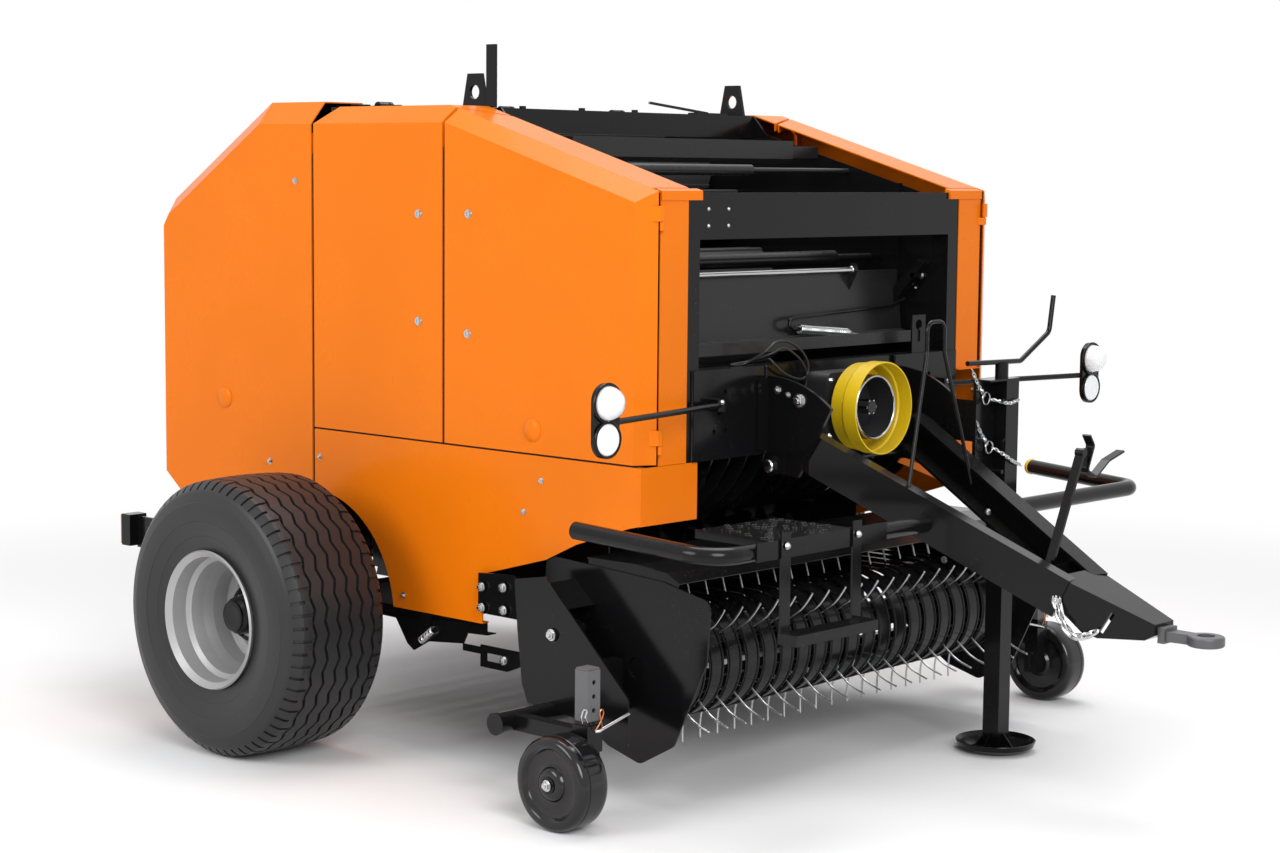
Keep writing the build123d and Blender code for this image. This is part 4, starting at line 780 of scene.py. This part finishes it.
# Rims: pressed steel in silver paint, held by six flanged nuts on a turned black hub, with
# the tyre's valve through the disc.
silver = paint("silver_paint", (0.36, 0.36, 0.36), 0.42, coat=0.10, metal=0.35, dusty=0.05, peel=0.06)
dress(silver, "rim_left", "rim_right")
for s, body in ((-1, "wheel_r"), (1, "wheel_l")):
    hub = Stock()
    hub.turned([(0.0063, 0.0885), (0.0270, 0.0885), (0.0275, 0.0625), (0.0330, 0.0620), (0.0760, 0.0575),
                (0.0850, 0.0475), (0.0915, 0.0475), (0.0925, 0.044), (0.0920, 0.030), (0.0900, 0)],
               at(s * WHEEL_X, 0, WHEEL_Z), (s, 0, 0), sides=48)
    keep(body + "_hub", hub.mesh(body + "_hub", black), body)
    bolts(body + "_nuts", body, *[
        (s * (WHEEL_X + 27), 75 * math.cos(a), WHEEL_Z + 75 * math.sin(a), (s, 0, 0), 11)
        for a in (math.tau * k / 6 for k in range(6))], finish=black)
    valve = Stock()
    valve.run([at(s * (WHEEL_X + 40), 0, WHEEL_Z + 150), at(s * (WHEEL_X + 62), 0, WHEEL_Z + 146)], 0.0045, sides=10)
    keep(body + "_valve", valve.mesh(body + "_valve", black), body)

# Pickup frame and arms: plate and tube in black paint, held to the chassis by four flanged
# bolts a side, with the lift springs and the rails under the arms. The posts of the gauge
# wheels show grey where their paint is rubbed off.
dress(black, "pickup_arms", "pickup_frame", "pickup_bands")
dress(paint("arm_paint", BLACK, 0.2, gloss=0.25, scuff=0.3, dusty=0.05,
            patch=((1.115, 0.609, 0.40), (0.027, 0.03, 0.10), (0.11, 0.11, 0.115))), "gauge_arms")
under = Stock()
for s in (-1, 1):
    under.prism([at(s * 836, y, z) for y, z in ((-662, 443.5), (-120, 443.5), (-100, 425), (-130, 405),
                                                (-540, 398), (-662, 404))], (s * 0.004, 0, 0))
    under.prism([at(s * x, y, z) for x, y, z in ((800, -662, 404), (838, -662, 404), (838, -540, 398),
                                                 (800, -540, 398))], (0, 0, 0.004))
keep("under_rails", under.mesh("under_rails", black, fillet=0.0008), "chassis")
for s in (-1, 1):
    side = "left" if s > 0 else "right"
    bolts("arm_bolts_" + side, "chassis", *[(s * 889.3, y, z, (s, 0, 0), 12.5) for y, z in (
        (-689, 566), (-784, 575), (-689, 502), (-786, 506))],
        (s * 847.3, -745, 339, (s, 0, 0), 12))
    spring("lift_spring_" + side, "chassis", (s * 850, -430, 392), (s * 850, -372, 350), 0.011, 0.0026)
    bolts("plate_bolt_" + side, "pickup", (s * 976.3, -1080, 483, (s, 0, 0), 14))

# Stripper bands: rolled sheet hoops in gloss black, whose legs are fixed to the pickup's two
# cross rails, stiffened by a bead along each edge. The tines pass between them.
REEL_Y, REEL_Z, TINE_STEP, BAND_R = -1300, 400, 80, 165.6
edges = Stock()
for i in range(22):
    for dx in (-24, 24):
        x = (i - 10.5) * TINE_STEP + dx
        if abs(x) < 838:          # the outermost edges lie in the side plates
            way = [at(x, REEL_Y + BAND_R * math.cos(a), REEL_Z + BAND_R * math.sin(a))
                   for a in (math.pi / 2 + math.pi * k / 28 for k in range(29))]
            edges.run([at(x, REEL_Y + 260, REEL_Z + BAND_R)] + way + [at(x, REEL_Y + 260, REEL_Z - BAND_R)],
                      0.0026, sides=8)
keep("band_beads", edges.mesh("band_beads", black), "pickup")

# Tined reel: five tubes on a shaft, each with a row of bright spring-wire tines that coil round
# the tube, run straight out and bend back near the tip.
COIL_R, TUBES_AT, REACH = 0.0178, 0.115, 0.822
wire, taps = tree_of("spring_tines", Wire=0.0031)
coil = wire.put("GeometryNodeCurveSpiral", {"Resolution": 14, "Rotations": 3.25, "Start Radius": COIL_R,
                                            "End Radius": COIL_R, "Height": 0.021})
coil = wire.put("GeometryNodeTransform", {"Geometry": coil, "Rotation": (0, math.pi / 2, 0)})
shank = wire.put("GeometryNodeCurvePrimitiveLine", {"Start": (0.0, 0.0, COIL_R), "End": (0.0, 0.0, 0.100)})
hook = wire.put("GeometryNodeCurveQuadraticBezier", {
    "Resolution": 6, "Start": (0.0, 0.0, 0.0995), "Middle": (0.0, 0.0, 0.125), "End": (0.0, 0.0202, 0.1743)})
whole = wire.put("GeometryNodeJoinGeometry", {0: [coil, shank, hook]})
round_wire = wire.put("GeometryNodeCurvePrimitiveCircle", {"Resolution": 8, "Radius": taps["Wire"]})
tine = wire.put("GeometryNodeCurveToMesh", {0: whole, 1: round_wire, "Fill Caps": True})
lean = wire.put("GeometryNodeInputNamedAttribute", {"Name": "lean"}, data_type="FLOAT")
lean = wire.put("FunctionNodeEulerToRotation", {0: wire.put("ShaderNodeCombineXYZ", {0: lean})})
spring_tines = end_tree(wire, wire.put("GeometryNodeInstanceOnPoints", {
    "Points": taps["Geometry"], "Instance": tine, "Rotation": lean}), taps)
feet, leans = [], []
reel = Stock()
centre = at(0, REEL_Y, REEL_Z)
reel.turned([(-0.844, 0.030), (0.844, 0.030)], centre, LEFT, sides=32)
for x in (-REACH, 0, REACH):
    reel.turned([(x - 0.004, 0.130), (x + 0.004, 0.130)], centre, LEFT, sides=60)
for k in range(5):
    a = math.radians(145 + 72 * k)
    out = Vector((0, math.cos(a), math.sin(a)))
    reel.turned([(-0.826, 0.014), (0.826, 0.014)], centre + out * TUBES_AT, LEFT, sides=24)
    for i in range(21):
        feet.append(centre + out * TUBES_AT + Vector(((i - 10) * TINE_STEP / 1000, 0, 0)))
        leans.append(a - math.pi / 2)
keep("reel_tubes", reel.mesh("reel_tubes", black), "tine_reel", "reel")
carrier = bpy.data.meshes.new("tines")
carrier.from_pydata(feet, [], [])
carrier.attributes.new("lean", "FLOAT", "POINT").data.foreach_set("value", leans)
tine_zinc = paint("tine_zinc", (0.66, 0.66, 0.68), 0.26, metal=1.0, peel=0.02, dusty=0.10)
grow("tines", spring_tines, carrier, "tine_reel", tine_zinc)

# Gauge wheels: moulded black plastic with a dished face and a groove beside the tread, each on
# a bright bolt. Their posts are pinned into the pickup's arms, with a copper spring clip.
GAUGE_X, GAUGE_Y, GAUGE_R = 1202, -1352, 135
copper = paint("clip_copper", (0.50, 0.19, 0.09), 0.28, metal=1.0, peel=0.02)
plastic = paint("gauge_plastic", (0.008, 0.008, 0.009), 0.13, gloss=0.4, peel=0.02)
for s, body, node in ((-1, "gauge_r", "gauge_wheel_right"), (1, "gauge_l", "gauge_wheel_left")):
    wheel = Stock()
    wheel.turned([
        (-0.054, 0.016), (-0.054, 0.040), (-0.046, 0.048), (-0.040, 0.090), (-0.050, 0.100), (-0.054, 0.106),
        (-0.054, 0.121), (-0.050, 0.128), (-0.043, 0.1325), (-0.034, 0.1345), (-0.020, 0.135), (0.020, 0.135),
        (0.0215, 0.1325), (0.0245, 0.1325), (0.026, 0.135), (0.034, 0.1345), (0.043, 0.1325), (0.050, 0.128),
        (0.054, 0.121), (0.054, 0.106), (0.050, 0.100), (0.042, 0.094), (0.036, 0.060), (0.040, 0.050),
        (0.048, 0.046), (0.052, 0.040), (0.054, 0.032), (0.054, 0.016)],
        at(s * GAUGE_X, GAUGE_Y, GAUGE_R), (s, 0, 0), sides=72)
    keep(node + "_moulding", wheel.mesh(node + "_moulding", plastic), body, node)
    bolts(node + "_bolt", "pickup", (s * (GAUGE_X + 60), GAUGE_Y, GAUGE_R, (s, 0, 0), 13))
    pin = Stock()
    pin.run([at(s * x, y, z) for x, y, z in (
        (987, -1403, 303), (1092, -1403, 277), (1106, -1402, 272), (1113, -1396, 271), (1114, -1380, 271))],
        0.0048, sides=12)
    pin.run(smooth([(s * 1156, -1385, 300), (s * 1166, -1390, 318), (s * 1160, -1392, 338), (s * 1146, -1392, 334),
                    (s * 1150, -1390, 316), (s * 1140, -1388, 300)], 4), 0.0026, sides=8)
    keep("post_pin_" + body, pin.mesh("post_pin_" + body, zinc), "pickup")
    clip = Stock()
    clip.run(smooth([(s * 1122, -1402, 276), (s * 1110, -1408, 296), (s * 1098, -1410, 322), (s * 1104, -1410, 336),
                     (s * 1112, -1409, 326), (s * 1106, -1408, 304), (s * 1098, -1404, 284)], 5), 0.0024, sides=8)
    keep("post_clip_" + body, clip.mesh("post_clip_" + body, copper), "pickup")
worn = paint("post_grey", (0.12, 0.12, 0.125), 0.45, gloss=0.4, scuff=0.8, dusty=0.1)
caps = Stock()
for s in (-1, 1):
    caps.prism([at(s * 1115 + dx, -1364 + dy, 445.2) for dx, dy in ((-24, -24), (24, -24), (24, 24), (-24, 24))],
               (0, 0, 0.005))
keep("post_caps", caps.mesh("post_caps", worn, fillet=0.0015), "pickup")
